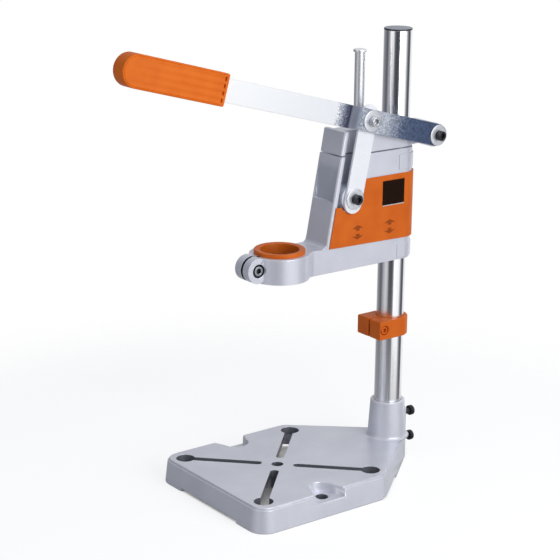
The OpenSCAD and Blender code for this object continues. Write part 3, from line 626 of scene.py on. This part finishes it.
def halfSpan(part, toward):
    low, high = span(part, toward)
    return (high - low) / 2


def middle(part):  # middle of a CAD part's box, in mm
    low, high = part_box(part)
    return (np.array(low) + np.array(high)) / 2 / mm


def placed(grid, foot, axis=alongZ):  # a shape on +Z, turned to an axis and set on its foot; mm to metres
    turn = np.array(Vector(alongZ).rotation_difference(Vector(axis)).to_matrix())
    return (grid @ turn.T + np.array(foot)) * mm


def swept(radius, height, turns):  # point (r cos t, r sin t, z) at each row and turn
    return np.stack([radius * np.cos(turns), radius * np.sin(turns), height + 0 * turns], -1)


def fullTurn(steps):
    return np.linspace(0, 2 * np.pi, steps + 1)[None]


def filleted(corners, steps=5):  # line through (r, z, fillet), with an arc in each corner
    spots = np.array([corner[:2] for corner in corners], float)
    line = [spots[:1]]
    for before, spot, after, (_, _, fillet) in zip(spots, spots[1:], spots[2:], corners[1:-1]):
        if not fillet:
            line.append(spot[None])
            continue
        back, ahead = (side / np.linalg.norm(side) for side in (before - spot, after - spot))
        half = np.arccos(np.clip(back @ ahead, -1, 1)) / 2
        inward = (back + ahead) / np.linalg.norm(back + ahead)
        across = (ahead - back) / np.linalg.norm(ahead - back)
        swing = np.linspace(half - np.pi / 2, np.pi / 2 - half, steps)[:, None]
        centre = spot + inward * fillet / np.sin(half)
        line.append(centre + fillet * (np.sin(swing) * across - np.cos(swing) * inward))
    return np.concatenate(line + [spots[-1:]])


def turned(name, part, slot, corners, axis=alongZ, foot=None, steps=112):  # a filleted line spun round
    line = filleted(corners)
    grid = swept(line[:, :1], line[:, 1:], fullTurn(steps))
    mesh = meshOf(name, [placed(grid, middle(part) if foot is None else foot, axis)])
    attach(finishPiece(name, mesh, part, slot), bodyOf[part])


tube = {"wall": 2.0, "rim": 0.5, "lip": 0.35, "steps": 160}
plug = {"lid": 1.7, "edge": 0.6, "under": 0.2, "foot": 0.5, "gap": 0.05, "steps": 160}
columnFoot = middle("column") * (1, 1, 0)
tubeR = span("column", alongX)[1]
tubeLow, tubeHigh = span("column", alongZ)
lidLow = tubeHigh - plug["lid"]
bore, tubeMid, tubeTop = tubeR - tube["wall"], tubeHigh / 2, lidLow - plug["gap"]
turned("columnTube", "column", "chrome_tube",
       [(bore, tubeMid, 0), (bore, tubeLow, tube["lip"]), (tubeR, tubeLow, tube["rim"]),
        (tubeR, tubeTop, tube["rim"]), (bore, tubeTop, tube["lip"]), (bore, tubeMid, 0)],
       foot=columnFoot, steps=tube["steps"])

plugR = span("column_cap", alongX)[1]
plugLow = span("column_cap", alongZ)[0]
turned("columnPlug", "column_cap", "grey_plastic",
       [(0, plugLow, 0), (plugR, plugLow, plug["foot"]), (plugR, lidLow, 0),
        (tubeR, lidLow, plug["under"]), (tubeR, tubeHigh, plug["edge"]), (0, tubeHigh, 0)],
       foot=columnFoot, steps=plug["steps"])

rod = {"shaft": 5.0, "foot": 1.0, "cap": 2.6, "neck": 0.2, "under": 0.3, "crown": 1.0}
capR = span("guide_rod", alongX)[1]
rodH = span("guide_rod", alongZ)[1] - middle("guide_rod")[2]
capLow = rodH - rod["cap"]
turned("guideRod", "guide_rod", "chrome_tube",
       [(0, -rodH, 0), (rod["shaft"], -rodH, rod["foot"]), (rod["shaft"], capLow, rod["neck"]),
        (capR, capLow, rod["under"]), (capR, rodH, rod["crown"]), (0, rodH, 0)])

bush = {"bore": 19.0, "body": 21.4, "foot": 0.4, "flange": 4.0, "under": 0.4, "edge": 0.9,
        "dish": 0.6, "lip": 0.8, "steps": 160}
flangeR = span("collar_bush", alongX)[1]
bushLow, bushHigh = span("collar_bush", alongZ)
bushMid, flangeLow = (bushLow + bushHigh) / 2, bushHigh - bush["flange"]
boreR, bodyR = bush["bore"], bush["body"]
turned("collarBush", "collar_bush", "orange_plastic",
       [(boreR, bushMid, 0), (boreR, bushLow, bush["foot"]), (bodyR, bushLow, bush["foot"]),
        (bodyR, flangeLow, 0), (flangeR, flangeLow, bush["under"]), (flangeR, bushHigh, bush["edge"]),
        (boreR, bushHigh - bush["dish"], bush["lip"]), (boreR, bushMid, 0)],
       foot=(0, 0, 0), steps=bush["steps"])

washer = {"bore": 3.15, "outer": 0.4, "inner": 0.25}
washerSet = {"fulcrumWasher": "fulcrum_washer", "leverWasher": "lever_washer", "linkWasher": "link_washer"}
holeR, inner = washer["bore"], washer["inner"]
for name, part in washerSet.items():
    discR = halfSpan(part, alongY)
    discH = span(part, alongX)[1] - middle(part)[0]
    turned(name, part, "zinc_steel",
           [(holeR, 0, 0), (holeR, -discH, inner), (discR, -discH, inner), (discR, discH, washer["outer"]),
            (holeR, discH, inner), (holeR, 0, 0)],
           axis=alongX)

pin = {"edge": 0.4, "steps": 48}
pinSet = {"springPinUpper": "spring_pin_upper", "springPinLower": "spring_pin_lower"}
for name, part in pinSet.items():
    pinR = halfSpan(part, alongY)
    pinH = span(part, alongX)[1]
    turned(name, part, "zinc_steel",
           [(0, -pinH, 0), (pinR, -pinH, pin["edge"]), (pinR, pinH, pin["edge"]), (0, pinH, 0)],
           axis=alongX, steps=pin["steps"])
print("turned parts made")


# Screws and nuts

def hexRadius(turns, across):  # a hexagon's reach at each turn, with a corner at turn 0
    return across / 2 / np.cos(np.mod(turns, np.pi / 3) - np.pi / 6)


threadForm = {"depth": 0.54, "rows": 8}  # shares of the pitch, rows in one pitch


def threadRows(radius, start, end, pitch, turns):
    # r = radius less a triangle wave in z / pitch + turn, eased in and out over one pitch
    z = np.linspace(start, end, max(2, round(abs(end - start) / pitch * threadForm["rows"])))[:, None]
    wave = np.abs(2 * np.mod(z / pitch + turns / (2 * np.pi), 1) - 1)
    ease = np.clip(np.minimum(np.abs(z - start), np.abs(z - end)) / pitch, 0, 1)
    return radius - threadForm["depth"] * pitch * wave * ease, z


screwSizes = {
    "normal": {"d": 6, "head": 6, "key": 5, "pitch": 1.0},
    "low": {"d": 6, "head": 4.5, "key": 5, "pitch": 1.0},
    "small": {"d": 5, "head": 5, "key": 4, "pitch": 0.8},
}
screwSet = {  # part, slot, side that the head is on, size
    "columnScrewLower": ("column_screw_lower", "black_steel", alongY, "low"),
    "columnScrewUpper": ("column_screw_upper", "black_steel", alongY, "low"),
    "stopScrew": ("stop_screw", "orange_paint", alongX, "small"),
    "headScrew": ("head_screw", "black_steel", (-1, 0, 0), "normal"),
    "fulcrumBolt": ("fulcrum_bolt", "black_steel", alongX, "normal"),
    "collarScrew": ("collar_screw", "black_steel", alongX, "normal"),
    "leverBolt": ("lever_bolt", "zinc_steel", alongX, "normal"),
    "linkBolt": ("link_bolt", "black_steel", alongX, "normal"),
}
# shares of the head's height (socket), the key (cone), the head's width (crown), the shank (plain)
# and the pitch (tip); the rest are mm, counts and degrees
screwForm = {"socket": 0.45, "cone": 0.12, "lip": 0.12, "lipDeep": 0.3, "crown": 0.09, "crownRows": 5,
             "flutes": 40, "knurl": 0.16, "fluteTop": 0.25, "fluteFoot": 0.7, "bead": (0.02, 0.45),
             "seatIn": 0.3, "plain": 0.35, "tip": 0.6, "steps": 120, "smooth": 32}


def capScrew(name, part, slot, axis, size):
    # rows of r(turn), z from the socket's floor over the knurled head to the thread's tip
    form = screwForm
    turns = fullTurn(form["steps"])
    low, high = span(part, axis)
    headR = halfSpan(part, alongZ)
    top, crown, floor = size["head"], form["crown"] * 2 * headR, size["head"] * form["socket"]
    seat = high - top
    shankR, tip = size["d"] / 2, low - seat
    key, pitch = size["key"], size["pitch"]
    wall = hexRadius(turns, key)
    mouth = key / 2 / math.cos(math.pi / 6) + form["lip"]
    flutes = headR - form["knurl"] * (0.5 + 0.5 * np.cos(form["flutes"] * turns))
    swing = np.linspace(0, np.pi / 2, form["crownRows"])[:, None]
    thread, threadZ = threadRows(shankR, -form["plain"] * abs(tip), tip + pitch, pitch, turns)
    beadIn, beadZ = form["bead"]
    ring = 0 * turns
    rows = [(ring, floor - form["cone"] * key), (wall, floor), (wall, top - form["lipDeep"]),
            (ring + mouth, top),
            (headR - crown + crown * np.sin(swing) + ring, top - crown + crown * np.cos(swing)),
            (flutes, top - crown - form["fluteTop"]), (flutes, form["fluteFoot"]),
            (ring + headR - beadIn, beadZ), (ring + headR - form["seatIn"], 0.0), (ring + shankR, 0.0),
            (thread, threadZ), (ring + shankR - form["tip"] * pitch, tip), (ring, tip)]
    radius = np.concatenate([np.broadcast_to(r, (r.shape[0], turns.size)) for r, _ in rows])
    height = np.concatenate([np.broadcast_to(np.reshape(z, (-1, 1)), (r.shape[0], 1)) for r, z in rows])
    foot = middle(part)
    foot += np.array(axis) * (seat - foot @ np.array(axis))
    mesh = meshOf(name, [placed(swept(radius, height, turns), foot, axis)])
    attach(finishPiece(name, mesh, part, slot, form["smooth"]), bodyOf[part])


for name, (part, slot, axis, size) in screwSet.items():
    capScrew(name, part, slot, axis, screwSizes[size])

nutSet = {"collarNut": ("collar_nut", "black_steel", 3.05), "stopNut": ("stop_nut", "zinc_steel", 2.55)}
# face is a share of the width, run of the height
nutForm = {"face": 0.95, "slope": 1.73, "run": 0.16, "rows": 7, "lip": 0.4, "steps": 120, "smooth": 25}


def hexNut(name, part, slot, hole):  # r = least of the hexagon and the cones that chamfer both faces
    form = nutForm
    turns = fullTurn(form["steps"])
    across = 2 * halfSpan(part, alongY)
    half = span(part, alongX)[1] - middle(part)[0]
    chamfer = np.linspace(0, form["run"], form["rows"])
    rise = np.concatenate([chamfer, np.linspace(1 - form["run"], 1, form["rows"])])
    rise = rise[:, None] * 2 * half - half
    cone = form["face"] * across / 2 + form["slope"] * (half - np.abs(rise))
    body = np.minimum(hexRadius(turns, across), cone)
    wall, mouth = 0 * turns + hole, 0 * turns + hole + form["lip"]
    bottom, top = form["lip"] - half, half - form["lip"]
    radius = np.concatenate([wall, mouth, body, mouth, wall, wall])
    height = np.concatenate([[[bottom], [-half]], rise, [[half], [top], [bottom]]])
    mesh = meshOf(name, [placed(swept(radius, height, turns), middle(part), alongX)])
    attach(finishPiece(name, mesh, part, slot, form["smooth"]), bodyOf[part])


for name, (part, slot, hole) in nutSet.items():
    hexNut(name, part, slot, hole)
print("screws and nuts made:", len(screwSet) + len(nutSet))


# Return spring

spring = {"radius": 3.9, "wire": 0.6, "pitch": 1.23, "perTurn": 14, "loop": 2.85, "loopArc": (-55, 215),
          "loopSteps": 40, "leg": 4.6, "pull": 7.0, "legSteps": 14, "sides": 10, "smooth": 50}


def hermite(start, end, leave, arrive, steps):  # cubic with given ends and end directions
    t = np.linspace(0, 1, steps)[:, None]
    return ((2 * t**3 - 3 * t**2 + 1) * start + (t**3 - 2 * t**2 + t) * leave
            + (3 * t**2 - 2 * t**3) * end + (t**3 - t**2) * arrive)


def tubeAlong(path, radius, guide, sides):  # circles square to the path, turned by a guide direction
    ahead = np.gradient(path, axis=0)
    ahead /= np.linalg.norm(ahead, axis=1, keepdims=True)
    side = np.cross(ahead, guide)
    side /= np.linalg.norm(side, axis=1, keepdims=True)
    up = np.cross(side, ahead)
    turns = fullTurn(sides)[..., None]
    ring = np.cos(turns) * side[:, None] + np.sin(turns) * up[:, None]
    return path[:, None] + radius[:, None, None] * ring


def makeSpring(form):  # helix between two end loops, each round its pin, with a cubic leg to each loop
    topPin, lowPin = middle("spring_pin_upper"), middle("spring_pin_lower")
    axisY = topPin[1]
    top = topPin[2] - form["loop"] - form["leg"]
    low = lowPin[2] + form["loop"] + form["leg"]
    count = round((top - low) / form["pitch"])
    turn = np.linspace(0, 2 * np.pi * count, count * form["perTurn"] + 1)
    coil = np.stack([form["radius"] * np.sin(turn), axisY - form["radius"] * np.cos(turn),
                     top + (low - top) * turn / turn[-1]], -1)
    swing = np.radians(np.linspace(*form["loopArc"], form["loopSteps"]))
    loop = np.stack([0 * swing, form["loop"] * np.cos(swing), form["loop"] * np.sin(swing)], -1)
    flip = np.array([-1, 1, -1])
    topLoop, lowLoop = loop + topPin, (loop * flip)[::-1] + lowPin
    down = np.array([0, -math.sin(swing[-1]), math.cos(swing[-1])]) * form["pull"]
    across = np.array(alongX) * form["pull"]
    topLeg = hermite(topLoop[-1], coil[0], down, across, form["legSteps"])[1:-1]
    lowLeg = hermite(coil[-1], lowLoop[0], across, -(down * flip), form["legSteps"])[1:-1]
    path = np.concatenate([topLoop[:1], topLoop, topLeg, coil, lowLeg, lowLoop, lowLoop[-1:]])
    path[0] -= topLoop[1] - topLoop[0]
    path[-1] += lowLoop[-1] - lowLoop[-2]
    inCoil = [np.zeros(len(topLoop) + 1), np.linspace(0, 1, len(topLeg)), np.ones(len(coil)),
              np.linspace(1, 0, len(lowLeg)), np.zeros(len(lowLoop) + 1)]
    inCoil = np.concatenate(inCoil)[:, None]
    guide = inCoil * np.array(alongZ) + (1 - inCoil) * np.array(alongX)
    radius = np.full(len(path), form["wire"])
    radius[[0, -1]] = 0
    mesh = meshOf("returnSpring", [tubeAlong(path, radius, guide, form["sides"]) * mm])
    piece = finishPiece("returnSpring", mesh, "return_spring", "zinc_steel", form["smooth"])
    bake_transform(piece)


makeSpring(spring)
print("spring wound")


# Grip, in s along the lever and n across it

gripForm = {"edge": 1.2, "corner": 2.0, "grooves": 4, "pitch": 6.5, "grooveW": 4.6, "shallow": 0.10,
            "deep": 0.35, "fade": 5.0, "pit": 1.6, "pitW": 3.8, "pitDeep": 2.0, "pitSteep": 6, "seam": 0.9,
            "seamDeep": 0.45, "wallGap": 3.2, "wallRun": 0.24, "bar": 4, "slotGap": 0.1, "skin": 0.01,
            "brink": (0.1, 0.09), "smooth": 40}  # brink: shares of the way in where the fine rows begin
gripSteps = {"side": 74, "bow": 49, "corner": 7, "slot": 29, "face": 44, "brink": 9, "rim": 6}


def gripGrooves(s, n, form, wall, frontMid):
    # depth of the grooves: parabolas across, which deepen to the rear and end in a pit at a wall
    rows = (np.arange(form["grooves"]) - (form["grooves"] - 1) / 2) * form["pitch"]
    off = n[..., None] - rows
    hollow = np.clip(1 - (off / (form["grooveW"] / 2))**2, 0, 1).sum(-1)
    run = np.clip((frontMid - s) / (frontMid - wall), 0, 1)
    fade = np.clip((frontMid + form["fade"] - s) / form["fade"], 0, 1)
    groove = hollow * (form["shallow"] + (form["deep"] - form["shallow"]) * run) * fade
    steep = form["pitSteep"]
    pitAcross = np.clip(steep / 2 - steep * np.abs(off) / form["pitW"], 0, 1).sum(-1)
    pitAlong = np.clip((wall + form["pit"] - s) / form["wallRun"], 0, 1)
    return (groove + form["pitDeep"] * (pitAcross * pitAlong)) * (s >= wall)


def gripOutline(form, rear, wall, frontMid, half, slotN):
    # straight sides, a half circle at the front, quarter circles at the rear corners and a flat rear end,
    # as rows of s, n, outward normal s and n, and the place on the middle line that the face runs in to
    corner, run, steps = form["corner"], form["wallRun"], gripSteps
    cornerMid, pit, one = rear + corner, wall + form["pit"], np.ones_like
    s = np.concatenate([[cornerMid, wall - run, wall, wall + run, pit - run],
                        np.linspace(pit, frontMid, steps["side"])])
    side = np.stack([s, half * one(s), 0 * s, one(s), s], -1)
    bow = np.radians(np.linspace(-90, 90, steps["bow"]))[1:-1]
    front = np.stack([frontMid + half * np.cos(bow), half * np.sin(bow), np.cos(bow), np.sin(bow),
                      frontMid + 0 * bow], -1)
    bend = np.radians(np.linspace(90, 180, steps["corner"]))[1:-1]
    bent = np.stack([cornerMid + corner * np.cos(bend), half - corner + corner * np.sin(bend),
                     np.cos(bend), np.sin(bend), cornerMid + 0 * bend], -1)
    n = np.concatenate([[half - corner], np.linspace(slotN, -slotN, steps["slot"]), [corner - half]])
    end = np.stack([rear + 0 * n, n, -one(n), 0 * n, cornerMid + 0 * n], -1)
    mirror = np.array([1, -1, 1, -1, 1])
    rows = [side * mirror, front, side[::-1], bent, end, (bent * mirror)[::-1], side[:1] * mirror]
    return np.concatenate(rows)


def gripRows(form, thick, slotX):
    # from the middle of one face over its round rim to the slot, and the same back on the other face:
    # depth in the outline, share of the way to the middle line, height, and the way that the face looks
    edge, steps, one = form["edge"], gripSteps, np.ones_like
    wide, fine = form["brink"]
    inward = np.concatenate([np.linspace(1, wide, steps["face"]), np.linspace(fine, 0, steps["brink"])])
    rim = np.radians(np.linspace(0, 90, steps["rim"]))[1:]
    depth = np.concatenate([edge * one(inward), edge * (1 - np.sin(rim)), [0]])
    share = np.concatenate([inward, 0 * rim, [0]])
    lift = np.concatenate([thick * one(inward), thick - edge * (1 - np.cos(rim)), [slotX]])
    facing = np.concatenate([one(inward), 0 * rim, [0]])
    depth, share = (np.concatenate([a, a[::-1]])[:, None, None] for a in (depth, share))
    lift, facing = (np.concatenate([a, -a[::-1]])[:, None] for a in (lift, facing))
    return depth, share, lift, facing


def makeGrip(form):  # rows inside the outline; the faces lose the grooves and a seam along the rim
    rear, front = span("grip", alongLever, fulcrum)
    half = span("grip", acrossLever, fulcrum)[1]
    left, right = span("grip", alongX)
    frontMid, wall = front - form["skin"] - half, rear + form["wallGap"]
    slotX = form["bar"] / 2 + form["slotGap"]
    slotN = span("lever_bar", acrossLever, fulcrum)[1] + form["slotGap"]
    outline = gripOutline(form, rear, wall, frontMid, half, slotN)
    spot, normal, core = outline[:, :2], outline[:, 2:4], outline[:, 4:] * (1, 0)
    depth, share, lift, facing = gripRows(form, (right - left) / 2, slotX)
    toCore = core - (spot - normal * form["edge"])
    plane = spot - normal * depth + toCore * share
    s, n = plane[..., 0], plane[..., 1]
    fromRim = share[..., 0] * np.linalg.norm(toCore, axis=1)
    seam = np.clip(1 - np.abs(2 * fromRim / form["seam"] - 1), 0, 1)
    seam = seam * np.clip((s - wall) / form["pit"], 0, 1)
    sunk = gripGrooves(s, n, form, wall, frontMid) + form["seamDeep"] * seam
    x = (left + right) / 2 + lift - facing * sunk
    grid = x[..., None] * np.array(alongX) + s[..., None] * alongLever + n[..., None] * acrossLever
    grid = grid + fulcrum * (0, 1, 1)
    row = grid.shape[0] // 2 - 1  # the slot's mouth, between the two faces
    first = int(np.argmax(np.isclose(spot[:, 0], rear) & np.isclose(spot[:, 1], slotN)))
    last = first + gripSteps["slot"] - 1
    mouth = np.zeros((grid.shape[0] - 1, grid.shape[1] - 1), bool)
    mouth[row, first:last] = True
    block = grid[row:row + 2, first:last + 1]
    loop = np.concatenate([block[0], block[1, ::-1], block[0, :1]])
    deep = alongLever * (frontMid - rear + form["slotGap"])
    slot = np.stack([loop, loop + deep, 0 * loop + loop[:-1].mean(0) + deep])
    mesh = meshOf("leverGrip", [grid * mm, slot * mm], [mouth, None])
    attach(finishPiece("leverGrip", mesh, "grip", "orange_grip", form["smooth"]), bodyOf["grip"])


makeGrip(gripForm)
print("grip made")

plateForm = {"part": "cover_plate", "slot": "black_plate", "radius": 0.12, "segments": 2}
softEdged("coverPlate", **plateForm)
print("cover plate rounded")


# Stage

cameraView = {"azimuth": 52.848, "distance": 1.601, "height": 0.6883, "pan": -0.027, "tilt": 16.418,
              "roll": 0.604, "lens": 110.794}


def aimCamera(view):  # stands round the drilling axis and looks at it, then turns by pan, tilt and roll
    lens = bpy.data.cameras.new("camera")
    lens.lens = view["lens"]
    camera = bpy.data.objects.new("camera", lens)
    bpy.context.scene.collection.objects.link(camera)
    stand, pan, tilt, roll = (math.radians(view[key]) for key in ("azimuth", "pan", "tilt", "roll"))
    turn = pan + stand
    ahead = Vector((-math.sin(turn) * math.cos(tilt), math.cos(turn) * math.cos(tilt), -math.sin(tilt)))
    right = Vector((math.cos(turn), math.sin(turn), 0))
    up = right.cross(ahead)
    rolled = math.cos(roll) * right + math.sin(roll) * up
    upright = math.cos(roll) * up - math.sin(roll) * right
    facing = Matrix((rolled, upright, -ahead)).transposed().to_4x4()
    distance = view["distance"]
    spot = Vector((distance * math.sin(stand), -distance * math.cos(stand), view["height"]))
    camera.matrix_world = Matrix.Translation(spot) @ facing
    bpy.context.scene.camera = camera


aimCamera(cameraView)

lamps = {  # azimuth and height in degrees, power in watts
    "keyPanel": {"azimuth": 92, "height": 14, "distance": 1.55, "size": (1.2, 1.1), "power": 18.0},
    "topPanel": {"azimuth": 150, "height": 64, "distance": 1.6, "size": (1.0, 1.0), "power": 4.0},
    "frontPanel": {"azimuth": 2, "height": 18, "distance": 2.4, "size": (1.4, 1.6), "power": 4.0},
}
lampTarget = Vector((0, 0.08, 0.40))
for name, panel in lamps.items():
    light = bpy.data.lights.new(name, "AREA")
    light.shape = "RECTANGLE"
    light.size, light.size_y = panel["size"]
    light.energy = panel["power"]
    lamp = bpy.data.objects.new(name, light)
    bpy.context.scene.collection.objects.link(lamp)
    azimuth, height = math.radians(panel["azimuth"]), math.radians(panel["height"])
    flat = math.cos(height)
    away = Vector((math.sin(azimuth) * flat, -math.cos(azimuth) * flat, math.sin(height)))
    lamp.location = lampTarget + away * panel["distance"]
    lamp.rotation_euler = away.to_track_quat("Z", "Y").to_euler()
    lamp.visible_camera = False

studio = {"ambient": (0.36, 0.385, 0.43), "tint": (1.03, 1.02, 0.94), "overhead": 0.8,
          "ceiling": (0.45, 0.85),
          "bands": [(-180, 1.0), (-125, 0.75), (-85, 0.30), (-40, 0.10), (-20, 0.40), (5, 0.72), (20, 0.5),
                    (30, 0.10), (50, 0.04), (66, 0.18), (74, 1.0), (122, 1.0), (134, 0.35), (150, 0.07),
                    (165, 0.12), (180, 1.0)]}


def buildStudio(look):  # soft even light, bands round the horizon for what shines, and white behind it all
    world = bpy.data.worlds.new("studio")
    bpy.context.scene.world = world
    world.use_nodes = True
    tree = world.node_tree
    tree.nodes.clear()
    toward = addNode(tree, "SeparateXYZ", addNode(tree, "TexCoord").outputs["Generated"]).outputs
    angle = calc(tree, "ARCTAN2", toward["X"], calc(tree, "MULTIPLY", toward["Y"], -1))
    # each band's level is raised to the tint's power in red, green and blue
    stops = [((turn + 180) / 360, [level**t for t in look["tint"]]) for turn, level in look["bands"]]
    bands = ramp(tree, between(tree, angle, -math.pi, math.pi), stops)
    room = mixed(tree, between(tree, toward["Z"], *look["ceiling"]), bands, look["overhead"])
    rays = addNode(tree, "LightPath").outputs
    shiny = calc(tree, "MAXIMUM", rays["Is Glossy Ray"], rays["Is Transmission Ray"])
    seen = mixed(tree, shiny, look["ambient"], room)
    back = addNode(tree, "Background", Color=mixed(tree, rays["Is Camera Ray"], seen, white), Strength=1.0)
    addNode(tree, "OutputWorld", Surface=back.outputs[0])


buildStudio(studio)

floorForm = {"fade": (0.36, 0.62), "mirrored": (0.17, 0.42), "veil": 0.35, "glow": (0.76, 0.14),
             "paper": 0.30, "shut": 0.04, "shutRays": 8, "shutTones": [(0.12, 0.02), (0.5, 1.0)],
             "bounce": 0.55, "roughness": 0.9, "specular": 0.1, "rings": 24, "spokes": 96}


def layFloor(form):  # round sheet that glows by itself, dark where the object shuts it in, and fades out
    radii = np.linspace(0, form["fade"][1], form["rings"])[:, None]
    mesh = meshOf("floor", [swept(radii, 0 * radii, fullTurn(form["spokes"]))])
    finish, tree, shader = newFinish("floorPaper", Base_Color=opaque(form["bounce"]),
                                     Roughness=form["roughness"], Specular_IOR_Level=form["specular"])
    rays = addNode(tree, "LightPath").outputs
    shown, mirrored = form["glow"]
    strength = calc(tree, "MULTIPLY_ADD", rays["Is Glossy Ray"], mirrored - shown, shown)
    bare = addNode(tree, "AmbientOcclusion", settings={"samples": form["shutRays"]}, Distance=form["shut"])
    shut = ramp(tree, bare.outputs["AO"], form["shutTones"])
    glow = addNode(tree, "Emission", Color=shut, Strength=strength)
    paper = addNode(tree, "BsdfDiffuse", Color=opaque(form["paper"]))
    lit = addNode(tree, "AddShader", paper.outputs[0], glow.outputs[0])
    byRay = addNode(tree, "MixShader", rays["Is Diffuse Ray"], lit.outputs[0], shader.outputs[0])
    reach = vectorCalc(tree, "LENGTH", placeOn(tree))
    fades = [between(tree, reach, *form[key], least, "SMOOTHSTEP")
             for key, least in (("fade", 0.0), ("mirrored", form["veil"]))]
    fade = mixed(tree, rays["Is Glossy Ray"], *fades)
    edge = addNode(tree, "MixShader", fade, byRay.outputs[0], addNode(tree, "BsdfTransparent").outputs[0])
    feed(tree, tree.nodes["Material Output"], Surface=edge.outputs[0])
    mesh.materials.append(finish)
    floor = bpy.data.objects.new("floor", mesh)
    bpy.context.scene.collection.objects.link(floor)


layFloor(floorForm)
bpy.context.scene.view_settings.view_transform = "Standard"
print("stage set")
